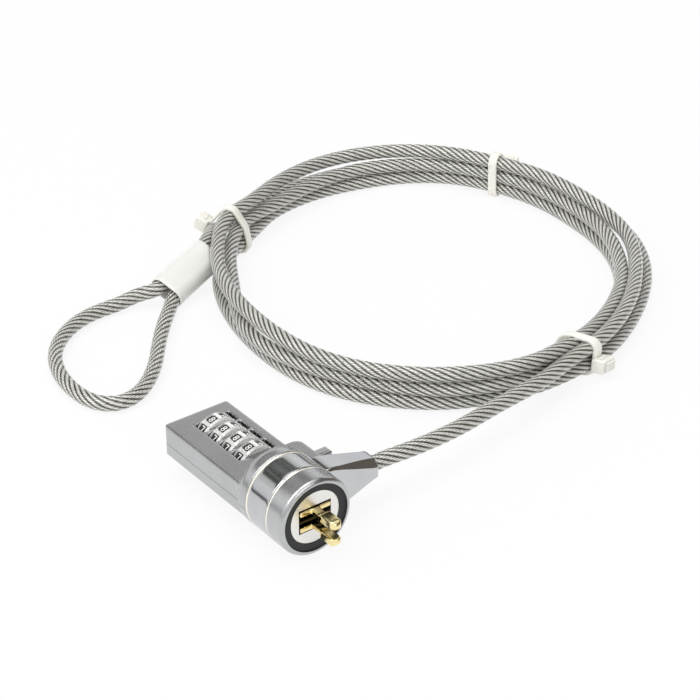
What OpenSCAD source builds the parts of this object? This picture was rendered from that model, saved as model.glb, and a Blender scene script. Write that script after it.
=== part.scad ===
// Laptop cable lock: a four-dial lock head with a swivelling cable arm and
// two latching claws, on a coiled steel cable with a crimped eye.
// Millimetres. Rest pose: claws folded, push button out, cable tied in a coil.

/* [Lock head] */
// Outside diameter of the barrel
barrel_d = 20; // [18:0.5:24]
// Width of the dial housing
body_w = 18.2; // [17:0.1:20]
// Height of the dial housing
body_h = 8.1; // [7.5:0.1:9]
// Distance from the rubber face to the rear of the housing
body_end = 48.3; // [46:0.1:52]

/* [Dials] */
// Diameter of a number dial
dial_d = 11.2; // [10.6:0.1:11.6]
// Width of a number dial
dial_w = 3.6; // [3.2:0.1:3.8]
// Spacing of the dials
dial_pitch = 5; // [4.8:0.1:5]

/* [Claws] */
// Angle each claw opens when the button is pressed
claw_open = 8; // [6:0.5:8]
// Width of a claw lobe
lobe_w = 2.8; // [2.4:0.1:3]
// Height over both lobes when folded
lobe_h = 6.6; // [6.2:0.1:6.8]

/* [Cable] */
// Outside diameter of the coated cable
cable_d = 4; // [3:0.5:4]
// Mean radius of the coil
coil_r = 59; // [55:1:65]

/* [Output] */
// Sub-part to build, or all

/* [Hidden] */

$fn = 96;
big = 60;        // length of a cutting tool that passes right through
eps = 0.05;      // overlap of solids that are joined
fit = 0.05;      // radial clearance of a running fit
gap = 0.3;       // clearance between moving pieces

// Stations along the barrel axis (y) and radii about it.
barrel_r = barrel_d / 2;
ring_front = -0.4;
ring_back = 5.05;
core_r = barrel_r - 1.8;
core_bore = core_r - 1.2;
core_front = 2;
flange_r = barrel_r - 0.8;
flange_front = 13.9;
flange_back = 15.1;
collar_front = 5.7;
collar_back = 12.8;
washer_t = 0.55;
shoulder_front = 13.45;
shoulder_back = 15.5;
shoulder_fillet = 2.5;
rubber_r = barrel_r - 1.2;
rubber_t = 2;
disc_r = barrel_r - 3.15;
disc_front = 0.2;
disc_back = 4.2;

// Dial housing.
half_w = body_w / 2;
top_z = 3.5;
low_z = top_z - body_h;
seam_z = -1.3;
edge_r = 0.45;
corner_r = 1.3;
wall_side = 1.5;
wall_face = 0.9;
cav_x = half_w - wall_side;
cav_top = top_z - wall_face;
cav_low = low_z + wall_face;
chamber_r = 7.4;
chamber_back = 17.3;
bulkhead_front = 20.2;
dial_room = 21.4;
rear_wall = 45.2;

// Dials.
dial_r = dial_d / 2;
dial_x = 1.7;
dial_z = -0.55;
dial_1_y = 26.8;
slot_clear = 0.3;
sleeve_r = 2.8;
spindle_r = 1.2;
lug_r = 2.4;
pads = 10;
pad_depth = 0.3;
pad_w = 2.5;
pad_len = 2.5;
first_pad = 22.5;

// Button and its slider.
boss_x = half_w + 3.9;
boss_back = 24;
boss_r = 2.5;
button_y = 17.3;
button_z = 1.3;
button_w = 2.8;
button_h = 3.2;
button_x0 = 9.9;
button_x1 = 16.7;
travel = 3;

// Claws.
pivot_y = 2.2;
pivot_z = 1.9;
pin_r = 0.5;
bump_y = 7.2;
bump_top = 2.9;
ramp_mid = 3.02;
ramp_slope = (bump_y - pivot_y) * sin(claw_open) / travel;

// Swivel arm.
arm_y = (collar_front + collar_back) / 2;
arm_end = 23;
crimp_r = 2.7;
cable_r = cable_d / 2;

// Model frame: the origin is under the middle of the lock head.
frame = [-6.5, -19.8, barrel_r];

// Coil, in the model frame.
coil_c = [90, 62.5];
coil_low = 1.1;
coil_top = 12.1;
coil_n = 90;

chrome = [0.78, 0.78, 0.8];
bright = [0.86, 0.86, 0.88];
brass = [0.8, 0.62, 0.3];
steel = [0.62, 0.63, 0.65];
black = [0.07, 0.07, 0.08];
white = [0.93, 0.93, 0.9];
vinyl = [0.6, 0.61, 0.62];

// ---- Shared shapes ----

// A profile of [radius, y] points turned about the barrel axis.
module turned(points) {
  rotate([-90, 0, 0])
    rotate_extrude()
      polygon(points);
}

// A ring about the barrel axis.
module tube_y(r_out, r_in, y0, y1) {
  translate([0, y0, 0])
    rotate([-90, 0, 0])
      difference() {
        cylinder(h = y1 - y0, r = r_out);
        translate([0, 0, -eps])
          cylinder(h = y1 - y0 + 2 * eps, r = r_in);
      }
}

module rod_y(r, y0, y1) {
  translate([0, y0, 0])
    rotate([-90, 0, 0])
      cylinder(h = y1 - y0, r = r);
}

module rod_x(r, x0, x1) {
  translate([x0, 0, 0])
    rotate([0, 90, 0])
      cylinder(h = x1 - x0, r = r);
}

module block(x0, x1, y0, y1, z0, z1) {
  translate([x0, y0, z0])
    cube([x1 - x0, y1 - y0, z1 - z0]);
}

// A 2-D rectangle with round corners.
module soft_rect(x0, x1, y0, y1, r) {
  translate([x0 + r, y0])
    square([x1 - x0 - 2 * r, y1 - y0]);
  translate([x0, y0 + r])
    square([x1 - x0, y1 - y0 - 2 * r]);
  for (x = [x0 + r, x1 - r], y = [y0 + r, y1 - r])
    translate([x, y])
      circle(r);
}

// A section in (x, z) pushed along y.
module section_xz(y0, y1) {
  translate([0, y1, 0])
    rotate([90, 0, 0])
      linear_extrude(y1 - y0)
        children();
}

// A section in (y, z) pushed along x.
module section_yz(x0, x1) {
  translate([x0, 0, 0])
    rotate([90, 0, 90])
      linear_extrude(x1 - x0)
        children();
}

// Moves a solid from the lock frame to the model frame.
module placed() {
  translate(frame)
    children();
}

// Moves to the dial axis.
module on_dial_axis() {
  translate([dial_x, 0, dial_z])
    children();
}

function arc(cx, cy, r, a0, a1, n) =
  [for (i = [0:n]) [cx + r * cos(a0 + (a1 - a0) * i / n), cy + r * sin(a0 + (a1 - a0) * i / n)]];

// ---- Swept cable ----

function unit(v) = v / norm(v);
function tangent(p, i) = unit(p[min(i + 1, len(p) - 1)] - p[max(i - 1, 0)]);

// Direction perpendicular to the path that stays level.
function level(p, i) = unit(cross([0, 0, 1], tangent(p, i)));

function ring_points(p, i, r, n) =
  [for (k = [0:n - 1])
    p[i] + r * cos(360 * k / n) * level(p, i)
         + r * sin(360 * k / n) * cross(tangent(p, i), level(p, i))];

module cable(p, r, n) {
  rings = len(p);
  polyhedron(
    points = [for (i = [0:rings - 1]) each ring_points(p, i, r, n)],
    faces = [
      [for (k = [0:n - 1]) k],
      for (i = [0:rings - 2], k = [0:n - 1])
        each [[i * n + k, (i + 1) * n + k, i * n + (k + 1) % n],
              [i * n + (k + 1) % n, (i + 1) * n + k, (i + 1) * n + (k + 1) % n]],
      [for (k = [0:n - 1]) rings * n - 1 - k]
    ]);
}

// A compression spring along z, ground flat by its end turns.
function helix(r, height, turns, per) =
  [for (i = [0:turns * per])
    [r * cos(360 * i / per), r * sin(360 * i / per), height * i / (turns * per)]];

// ---- Housing ----

module body_outer() {
  intersection() {
    translate([0, 0, low_z])
      linear_extrude(body_h)
        soft_rect(-half_w, half_w, shoulder_front + 1, body_end, corner_r);
    section_xz(shoulder_front + 1, body_end)
      soft_rect(-half_w, half_w, low_z, top_z, edge_r);
    section_yz(-half_w, half_w)
      soft_rect(shoulder_front, body_end, low_z, top_z, edge_r);
  }
  fillet_c = barrel_r - shoulder_fillet;
  turned(concat([[0, shoulder_front], [barrel_r, shoulder_front]],
                arc(fillet_c, shoulder_back, shoulder_fillet, 0, 90, 12),
                [[0, shoulder_back + shoulder_fillet]]));
}

// The block beside the barrel that the button slides in.
module boss() {
  intersection() {
    translate([0, 0, seam_z])
      linear_extrude(top_z - seam_z)
        boss_plan();
    section_xz(shoulder_front, boss_back)
      soft_rect(0, boss_x, seam_z - corner_r, top_z, edge_r);
  }
}

module boss_plan() {
  translate([0, shoulder_front])
    square([boss_x, boss_back - boss_r - shoulder_front]);
  translate([0, shoulder_front])
    square([boss_x - boss_r, boss_back - shoulder_front]);
  translate([boss_x - boss_r, boss_back - boss_r])
    circle(boss_r);
}

module body_cuts() {
  rod_y(core_r + fit, shoulder_front - 1, flange_front);
  rod_y(flange_r + fit, flange_front - fit, flange_back + fit);
  rod_y(chamber_r, flange_back, chamber_back);
  block(-cav_x, cav_x, chamber_back - 1, bulkhead_front, cav_low, cav_top);
  block(-cav_x, cav_x, dial_room, dial_1_y - dial_pitch / 2 + 0.4, cav_low, cav_top);
  for (i = [0:3])
    translate([0, dial_1_y + i * dial_pitch, 0])
      dial_bay();
  block(-cav_x, cav_x, dial_1_y + 3 * dial_pitch, rear_wall, cav_low, cav_top);
  block(-cav_x, -cav_x + 1.2, dial_room, rear_wall, -2.2, 1.1);
  on_dial_axis()
    rod_y(lug_r + gap, dial_room, rear_wall);
  on_dial_axis()
    rod_y(spindle_r, bulkhead_front - 1, rear_wall + 1);
  // Button opening, and the room its flange needs behind the boss wall.
  block(cav_x - 1, boss_x + 1, button_y - button_w / 2 - 0.2, button_y + button_w / 2 + 0.2,
        button_z - button_h / 2 - 0.2, button_z + button_h / 2 + 0.15);
  block(cav_x - 1, boss_x - 1.3, button_y - button_w / 2 - 0.7, button_y + button_w / 2 + 0.7,
        button_z - button_h / 2 - 0.2, button_z + button_h / 2 + 0.15);
  // Reset screw.
  translate([reset_x, 0, dial_z])
    rod_y(reset_r + fit, rear_wall, body_end + 1);
  translate([reset_x, 0, dial_z])
    rod_y(reset_r + 0.65, rear_wall - eps, rear_wall + 1.2);
}

// Room for one dial, with its slots through the top and the underside.
module dial_bay() {
  slot = dial_w / 2 + slot_clear;
  block(-cav_x, cav_x, -slot, slot, cav_low, cav_top);
  block(dial_x - 5.1, dial_x + 5, -slot, slot, low_z - 1, top_z + 1);
}

reset_x = -4.6;
reset_r = 2;

module shell_cuts() {
  body_cuts();
  pin_holes();
}

module pin_holes() {
  for (x = [-1, 1], y = [bulkhead_front + 0.6, rear_wall + 1.6])
    translate([x * (half_w - 0.8), y, seam_z - 1.3])
      cylinder(h = 2.6, r = 0.4, $fn = 32);
}

module upper_shell() {
  color(chrome)
    placed()
      difference() {
        union() {
          body_outer();
          boss();
        }
        shell_cuts();
        block(-big, big, -big, big, -big, seam_z);
      }
}

module lower_shell() {
  color(chrome)
    placed()
      difference() {
        body_outer();
        shell_cuts();
        block(-big, big, -big, big, seam_z, big);
      }
}

module shell_pins() {
  color(steel)
    placed()
      pin_holes();
}

// ---- Barrel ----

module front_ring() {
  lip = 1.1;
  color(chrome)
    placed()
      turned(concat([[rubber_r, rubber_t], [rubber_r, ring_front], [barrel_r - lip, ring_front]],
                    arc(barrel_r - lip, ring_front + lip, lip, -90, 0, 10),
                    [[barrel_r, ring_back], [core_r, ring_back], [core_r, rubber_t]]));
}

module rubber_ring() {
  color(black)
    placed()
      tube_y(rubber_r, disc_r, 0, rubber_t);
}

module face_disc() {
  color(bright)
    placed()
      difference() {
        rod_y(disc_r, disc_front, disc_back);
        block(-4.5, 4.5, -1, big, -3.2, 3.2);
        pins(pin_r);
      }
}

module barrel_core() {
  color(steel)
    placed()
      turned([[core_bore, core_front], [core_r, core_front], [core_r, flange_front],
              [flange_r, flange_front], [flange_r, flange_back], [core_bore, flange_back]]);
}

module front_washer() {
  color(bright)
    placed()
      tube_y(barrel_r - 0.1, core_r + fit, ring_back + 0.05, collar_front - 0.1);
}

module rear_washer() {
  color(bright)
    placed()
      tube_y(barrel_r - 0.1, core_r + fit, collar_back + fit, collar_back + fit + washer_t);
}

module swivel_collar() {
  half_slab = (collar_back - collar_front) / 2;
  arm_tip = 3.25;
  color(chrome)
    placed()
      difference() {
        union() {
          rod_y(barrel_r, collar_front, collar_back);
          intersection() {
            translate([0, arm_y, 0])
              rotate([0, 90, 0])
                rotate_extrude()
                  polygon(concat([[0, 5], [6.35, 5], [6.35, 9.4], [5.06, 15]],
                                 [[arm_tip + 0.1, 21.2]],
                                 arc(arm_tip - 1.1, arm_end - 1.2, 1.2, 0, 90, 8),
                                 [[0, arm_end]]));
            block(0, big, arm_y - half_slab, arm_y + half_slab, -big, big);
          }
        }
        rod_y(core_r + fit, 0, big);
        translate([0, arm_y, 0])
          rod_x(cable_r + 0.1, 0, big);
        translate([0, arm_y, 0])
          rod_x(crimp_r + fit, 0, 14.5);
      }
}

module cable_stop() {
  color(steel)
    placed()
      translate([0, arm_y, 0]) {
        rod_x(crimp_r, 8.7, 14.4);
        rod_x(cable_r, 14, arm_end);
      }
}

// ---- Claws ----

module pins(r) {
  for (z = [-pivot_z, pivot_z])
    translate([0, pivot_y, z])
      rod_x(r, -5.6, 5.6);
}

module claw_pins() {
  color(steel)
    placed()
      pins(pin_r);
}

module claw_half() {
  root = -0.2;
  neck = -3.4;
  tip = -8.7;
  lobe_top = lobe_h / 2;
  inner = 1.3;
  difference() {
    union() {
      block(-4.3, 4.3, root, 3, 1.5, 2.8);
      translate([0, pivot_y, pivot_z])
        rod_x(1, -4.3, 4.3);
      block(-2.5, 2.5, 2.5, 8, 1.2, 2.1);
      block(-0.4, 0.4, bump_y - 0.3, bump_y + 0.3, 2, bump_top);
      intersection() {
        section_yz(-lobe_w, lobe_w)
          polygon(concat([[0.4, 1.5], [0.4, 2.8], [root, 2.8], [neck + 0.3, 2.4], [neck, lobe_top]],
                         arc(tip + 1.3, lobe_top - 1.3, 1.3, 90, 180, 10),
                         [[tip, inner + 0.3], [tip + 0.3, inner], [root, inner]]));
        translate([0, 0, inner])
          linear_extrude(3) {
            translate([-1.08, neck - 0.2])
              square([2.16, 4]);
            translate([-lobe_w / 2, tip + lobe_w / 2])
              square([lobe_w, neck - tip - lobe_w / 2]);
            translate([0, tip + lobe_w / 2])
              circle(lobe_w / 2);
          }
      }
    }
    translate([0, pivot_y, pivot_z])
      rod_x(pin_r + fit, -big, big);
  }
}

module claw_upper() {
  color(brass)
    placed()
      claw_half();
}

module claw_lower() {
  color(brass)
    placed()
      mirror([0, 0, 1])
        claw_half();
}

module claw_spring() {
  color(steel)
    placed()
      section_yz(-1.2, 1.2)
        polygon([[4.4, 0], [7.6, 1.15], [7.8, 1], [4.9, 0], [7.8, -1], [7.6, -1.15]]);
}

// ---- Button ----

module push_button() {
  color(chrome)
    placed()
      translate([0, button_y, button_z]) {
        intersection() {
          section_yz(button_x0, button_x1)
            soft_rect(-button_w / 2, button_w / 2, -button_h / 2, button_h / 2, 0.5);
          section_xz(-button_w / 2, button_w / 2)
            soft_rect(button_x0 - 1, button_x1, -button_h / 2, button_h / 2, 0.4);
        }
        block(button_x0, button_x0 + 0.8, -button_w / 2 - 0.5, button_w / 2 + 0.5,
              -button_h / 2, button_h / 2);
      }
}

module button_slider() {
  color(steel)
    placed() {
      block(1, button_x0, 16.2, 18.4, 0.4, 2.3);
      block(1, 4, 15.5, 17.1, -4.3, 4.3);
      slider_fork();
      mirror([0, 0, 1])
        slider_fork();
    }
}

// One arm, with the ramp that squeezes a claw's tail.
module slider_fork() {
  x0 = -1;
  x1 = 4;
  block(x0, x1, 7.6, 15.6, 3.2, 4.3);
  section_xz(bump_y - 0.6, bump_y + 0.6)
    polygon([[x0, ramp_mid - ramp_slope * x0], [x1, ramp_mid - ramp_slope * x1],
             [x1, 4.3], [x0, 4.3]]);
  block(x0, x1, 15.5, 17.1, 3.2, 4.3);
}

module button_spring() {
  color(steel)
    placed()
      translate([-7.25, 16.5, -0.9])
        rotate([0, 90, 0])
          cable(helix(0.85, 8.1, 7, 10), 0.14, 6);
}

// ---- Code works ----

module spindle() {
  color(brass)
    placed()
      on_dial_axis() {
        rod_y(spindle_r, bulkhead_front - 0.8, rear_wall + 0.8);
        rod_y(lug_r, 24.1, 24.6);
        for (i = [0:3])
          translate([0, dial_1_y + (i + 0.5) * dial_pitch, 0])
            block(0, lug_r, -0.35, 0.35, -0.5, 0.5);
      }
}

module spindle_spring() {
  color(steel)
    placed()
      on_dial_axis()
        translate([0, dial_room + 0.2, 0])
          rotate([-90, 0, 0])
            cable(helix(1.75, 2.3, 4, 12), 0.17, 6);
}

// A wheel with ten recessed pads, keyed to its sleeve.
module dial(i) {
  half = dial_w / 2;
  flank = 0.4;
  color(bright)
    placed()
      on_dial_axis()
        translate([0, dial_1_y + (i - 1) * dial_pitch, 0])
          difference() {
            turned([[sleeve_r, -half], [dial_r - flank, -half], [dial_r, -half + flank],
                    [dial_r, half - flank], [dial_r - flank, half], [sleeve_r, half]]);
            for (k = [0:pads - 1])
              rotate([0, first_pad + k * 360 / pads, 0])
                block(-pad_w / 2, pad_w / 2, -pad_len / 2, pad_len / 2,
                      dial_r - pad_depth - 0.1, dial_r + 1);
            sleeve_key(0.05);
          }
}

// The key that turns a sleeve with its dial.
module sleeve_key(clear) {
  block(sleeve_r - 0.4, sleeve_r + 0.6 + clear, -dial_w, dial_w, -0.4 - clear, 0.4 + clear);
}

module code_sleeve(i) {
  half = dial_w / 2;
  color(brass)
    placed()
      on_dial_axis()
        translate([0, dial_1_y + (i - 1) * dial_pitch, 0])
          difference() {
            union() {
              rod_y(sleeve_r, -half, half);
              intersection() {
                sleeve_key(0);
                rod_y(dial_r, -half, half);
              }
            }
            rod_y(spindle_r + 0.15, -big, big);
            block(0, sleeve_r - 0.3, -big, big, -0.6, 0.6);
          }
}

module dial_1() { dial(1); }
module dial_2() { dial(2); }
module dial_3() { dial(3); }
module dial_4() { dial(4); }
module code_sleeve_1() { code_sleeve(1); }
module code_sleeve_2() { code_sleeve(2); }
module code_sleeve_3() { code_sleeve(3); }
module code_sleeve_4() { code_sleeve(4); }

// A leaf comb whose fingers reach the dials on the side of the window.
module detent_spring() {
  leaf = 0.3;
  back = -cav_x;
  crest = dial_x - dial_r - 0.12;
  color(steel)
    placed()
      translate([0, 0, dial_z - 0.8])
        linear_extrude(1.6) {
          translate([back, dial_room + 0.3])
            square([leaf, rear_wall - dial_room - 0.8]);
          for (i = [0:3])
            translate([0, dial_1_y + i * dial_pitch])
              polygon([[back, -1.5], [back + leaf, -1.5], [crest, -0.2], [crest, 0.2],
                       [crest - leaf, 0.2], [back + leaf, -1.1], [back, -1.1]]);
        }
}

module reset_screw() {
  color(steel)
    placed()
      translate([reset_x, 0, dial_z])
        difference() {
          union() {
            rod_y(reset_r, rear_wall + 0.2, body_end);
            rod_y(reset_r + 0.5, rear_wall + 0.1, rear_wall + 1.1);
          }
          block(-0.35, 0.35, body_end - 0.9, body_end + 1, -big, big);
        }
}

// ---- Cable ----

// Mean radius of the coil at an angle, in the model frame.
function coil_mid(a) = coil_r + 4 * cos(2 * (a - 52.7));
function swell(a, power) = pow(max(0, cos(a)), power);
function coil_in(a) = coil_mid(a) - 4.8 - 1.5 * sin(a);
function coil_out(a) =
  coil_mid(a) + 2.4 + 4.2 * swell(a - 60, 1) + 6.8 * swell(a + 30, 3) + 1.7 * swell(a - 122, 8);
function coil_edge(rs) =
  [for (i = [0:coil_n - 1]) coil_c + rs[i] * [cos(360 * i / coil_n), sin(360 * i / coil_n)]];

module coil_ring() {
  color(vinyl)
    translate([0, 0, coil_low])
      linear_extrude(coil_top - coil_low)
        difference() {
          polygon(coil_edge([for (i = [0:coil_n - 1]) coil_out(360 * i / coil_n)]));
          polygon(coil_edge([for (i = [0:coil_n - 1]) coil_in(360 * i / coil_n)]));
        }
}

// The turns pass beside and over the end of the ferrule's sleeve.
module cable_coil() {
  difference() {
    coil_ring();
    oval(sleeve_w + 0.8, sleeve_h + 0.8, -1, sleeve_len + 0.5);
  }
}

// The cable leaves the arm square to its end face.
lead_start = frame + [arm_end, arm_y, 0];
lead_route = [
  lead_start, lead_start + [2.5, 0, 0], [26, -10.9, 9.9], [34.6, -10.7, 9.5], [43, -9.9, 9.1],
  [51.5, -8.4, 8.7], [60, -6.8, 8.3], [69, -5.5, 8], [77.5, -3.8, 7.8], [84.5, -1.9, 7.8]
];

module cable_lead() {
  color(vinyl)
    cable(lead_route, cable_r, 10);
}

// The sleeve leans from the floor up onto the coil along this line, rolled so
// that the side next to the coil is the lower one.
sleeve_a = [28.5, 95, 3.9];
sleeve_b = [46.5, 100.9, 7.4];
sleeve_roll = 26;
sleeve_w = 10.2;
sleeve_h = 5.9;
sleeve_t = 0.45;
sleeve_len = norm(sleeve_b - sleeve_a);
sleeve_dir = unit(sleeve_b - sleeve_a);
sleeve_level = unit([-sleeve_dir[1], sleeve_dir[0], 0]);
sleeve_steep = cross(sleeve_dir, sleeve_level);
sleeve_side = cos(sleeve_roll) * sleeve_level + sin(sleeve_roll) * sleeve_steep;
sleeve_up = cross(sleeve_dir, sleeve_side);
ferrule_a = 4.5;
ferrule_len = 11;
strand = 2.05;
function along_sleeve(s, side, rise) =
  sleeve_a + s * sleeve_dir + side * sleeve_side + rise * sleeve_up;

tail_route = [
  [54.9, 111.9, 6.8], [53, 110.3, 7.6], [49.4, 106.6, 8.7],
  along_sleeve(sleeve_len, strand + 0.15, 0), along_sleeve(ferrule_a + ferrule_len, strand, 0)
];

module cable_tail() {
  color(vinyl)
    cable(tail_route, cable_r, 10);
}

eye_route = [
  along_sleeve(ferrule_a, strand, 0), along_sleeve(1.6, strand + 0.1, 0),
  along_sleeve(-1, 2.6, -0.1), [22.9, 99.3, 3.4], [17.3, 100.2, 2.3], [10.9, 100.4, 2.05],
  [4.4, 99.3, 2.05], [-1.9, 96.3, 2.05], [-7, 92.2, 2.05], [-10.9, 87.2, 2.05],
  [-13.7, 81, 2.05], [-15.2, 74.4, 2.05], [-15.4, 68.2, 2.05], [-14.1, 62.6, 2.05],
  [-10.6, 59, 2.05], [-6, 58.6, 2.05], [-1, 60.8, 2.05], [4.2, 65, 2.05], [9.2, 70.4, 2.05],
  [13.8, 76.2, 2.05], [18.1, 81.3, 2.1], [22.2, 85.7, 2.3], along_sleeve(-3, -3, 0),
  along_sleeve(1, -strand - 0.2, 0), along_sleeve(ferrule_a, -strand, 0)
];

module cable_eye() {
  color(vinyl)
    cable(eye_route, cable_r, 10);
}

// An oval block or tube lying along the sleeve's line.
module oval(width, height, s0, s1) {
  lean = asin(sleeve_dir[2]);
  heading = atan2(sleeve_dir[1], sleeve_dir[0]);
  translate(along_sleeve(s0, 0, 0))
    rotate([sleeve_roll, -lean, heading])
      rotate([90, 0, 90])
        linear_extrude(s1 - s0)
          soft_rect(-width / 2, width / 2, -height / 2, height / 2, height / 2 - 0.01);
}

module ferrule() {
  color(brass)
    oval(4 * strand + 0.7, 4.8, ferrule_a, ferrule_a + ferrule_len);
}

module ferrule_sleeve() {
  color(white)
    difference() {
      oval(sleeve_w, sleeve_h, 0, sleeve_len);
      oval(sleeve_w - 2 * sleeve_t, sleeve_h - 2 * sleeve_t, -1, sleeve_len + 1);
    }
}

// A strap around the coil at an angle, with its locking head on the outside.
module tie(a, reach) {
  clear = 0.15;
  thick = 0.9;
  width = 2.6;
  r0 = coil_in(a) - 3 * clear;
  r1 = coil_out(a) + 3 * clear;
  head_z = 6.5;
  color(white)
    translate([coil_c[0], coil_c[1], 0])
      rotate([0, 0, a]) {
        section_xz(-width / 2, width / 2)
          difference() {
            soft_rect(r0 - thick, r1 + thick, coil_low - clear - thick, coil_top + clear + thick, 1.2);
            soft_rect(r0, r1, coil_low - clear, coil_top + clear, 0.5);
          }
        block(r1 + thick - eps, r1 + thick + 3.4, -2.2, 2.2, head_z - 2.2, head_z + 2.2);
        block(r1 + thick + 3, r1 + thick + 3 + reach, -width / 2, width / 2, head_z - 0.5, head_z + 0.5);
      }
}

module tie_left() { tie(122, 2); }
module tie_back() { tie(29, 2); }
module tie_right() { tie(277, 2); }

upper_shell();
lower_shell();
shell_pins();
front_ring();
rubber_ring();
face_disc();
barrel_core();
front_washer();
rear_washer();
swivel_collar();
cable_stop();
claw_upper();
claw_lower();
claw_pins();
claw_spring();
push_button();
button_slider();
button_spring();
spindle();
spindle_spring();
dial_1();
dial_2();
dial_3();
dial_4();
code_sleeve_1();
code_sleeve_2();
code_sleeve_3();
code_sleeve_4();
detent_spring();
reset_screw();
cable_lead();
cable_coil();
cable_tail();
cable_eye();
ferrule();
ferrule_sleeve();
tie_left();
tie_back();
tie_right();
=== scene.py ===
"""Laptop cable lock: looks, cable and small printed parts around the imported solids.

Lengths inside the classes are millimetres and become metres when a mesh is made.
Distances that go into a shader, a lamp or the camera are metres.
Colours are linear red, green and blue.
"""

from __future__ import annotations

import logging
import math
from dataclasses import dataclass
from enum import Enum
from typing import ClassVar

import bmesh
import bpy
import numpy as np
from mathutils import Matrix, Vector

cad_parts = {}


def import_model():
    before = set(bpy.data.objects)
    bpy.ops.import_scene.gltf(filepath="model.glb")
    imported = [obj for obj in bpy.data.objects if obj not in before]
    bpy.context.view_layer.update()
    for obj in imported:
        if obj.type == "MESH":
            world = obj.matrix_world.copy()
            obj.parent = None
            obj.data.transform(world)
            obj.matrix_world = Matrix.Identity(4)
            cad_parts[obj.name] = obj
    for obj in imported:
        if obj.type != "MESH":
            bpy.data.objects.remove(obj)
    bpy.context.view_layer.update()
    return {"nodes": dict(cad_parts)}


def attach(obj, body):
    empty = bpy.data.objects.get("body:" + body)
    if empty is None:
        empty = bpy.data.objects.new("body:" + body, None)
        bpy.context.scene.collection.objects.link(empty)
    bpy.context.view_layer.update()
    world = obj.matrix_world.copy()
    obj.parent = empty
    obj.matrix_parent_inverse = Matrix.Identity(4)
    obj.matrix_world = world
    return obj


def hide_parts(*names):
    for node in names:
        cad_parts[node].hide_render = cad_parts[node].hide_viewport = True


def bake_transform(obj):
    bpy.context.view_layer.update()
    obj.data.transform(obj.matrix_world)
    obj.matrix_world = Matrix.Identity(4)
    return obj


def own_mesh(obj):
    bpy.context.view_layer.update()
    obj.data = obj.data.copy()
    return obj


MM = 0.001
TURN = 2 * math.pi
WHITE = (1.0, 1.0, 1.0, 1.0)
MOST_TRIANGLES = 180_000
MERGE_WITHIN = 0.000002
ROUTE_STEP = 0.2
ARC_POINTS = 5
RING_COLUMNS = 160
BOX_ROWS, BOX_COLUMNS = 17, 32
BOX_POWER = 0.22
ROPE_MAP = "rope"
ROPE_STRANDS = 9
ROPE_LAY = 23.0
LOG = logging.getLogger("cable_lock")

Socket = bpy.types.NodeSocket
Node = bpy.types.Node
Outputs = bpy.types.NodeOutputs
Material = bpy.types.Material
Piece = bpy.types.Object
Pair = tuple[float, float]
Triple = tuple[float, float, float]


# ---- Arrays and meshes ----


def unit(vectors: np.ndarray) -> np.ndarray:
    """Each vector divided by its length."""
    return vectors / np.linalg.norm(vectors, axis=-1, keepdims=True)


def squared(wave: np.ndarray, power: float) -> np.ndarray:
    """A wave raised to a small power with its sign kept, which flattens its crests."""
    return np.sign(wave) * np.abs(wave) ** power


def run_along(points: np.ndarray) -> np.ndarray:
    """The distance along a line at each of its points."""
    return np.concatenate([[0.0], np.cumsum(np.linalg.norm(np.diff(points, axis=0), axis=1))])


def resampled(values: np.ndarray, run: np.ndarray, places: np.ndarray) -> np.ndarray:
    """Rows of values, known at some distances along a line, worked out at others."""
    return np.stack([np.interp(places, run, column) for column in values.T], axis=1)


def grid_faces(rows: int, cols: int, wrap_rows: bool, wrap_cols: bool) -> np.ndarray:
    """Four-cornered faces of a grid of rows x cols points.

    Args:
        rows: number of rows of points.
        cols: number of points in a row.
        wrap_rows: whether the last row joins the first.
        wrap_cols: whether the last point of a row joins its first.

    Returns:
        An array of corner numbers, one face a row.
    """
    i, j = np.meshgrid(
        np.arange(rows - (not wrap_rows)), np.arange(cols - (not wrap_cols)), indexing="ij"
    )
    below, right = (i + 1) % rows, (j + 1) % cols
    corner_numbers = [i * cols + j, i * cols + right, below * cols + right, below * cols + j]
    return np.stack(corner_numbers, axis=-1).reshape(-1, 4)


def signed_volume(points: np.ndarray, faces: list[list[int]]) -> float:
    """Volume inside a closed surface, negative where its faces point inwards.

    Args:
        points: the corners, in any unit.
        faces: the corner numbers of each face.

    Returns:
        The sum over triangles of the corner triple products, over six.
    """
    tris = np.array([[f[0], f[k], f[k + 1]] for f in faces for k in range(1, len(f) - 1)])
    a, b, c = (points[tris[:, k]] for k in range(3))
    return float(np.einsum("ij,ij->i", a, np.cross(b, c)).sum() / 6)


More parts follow.
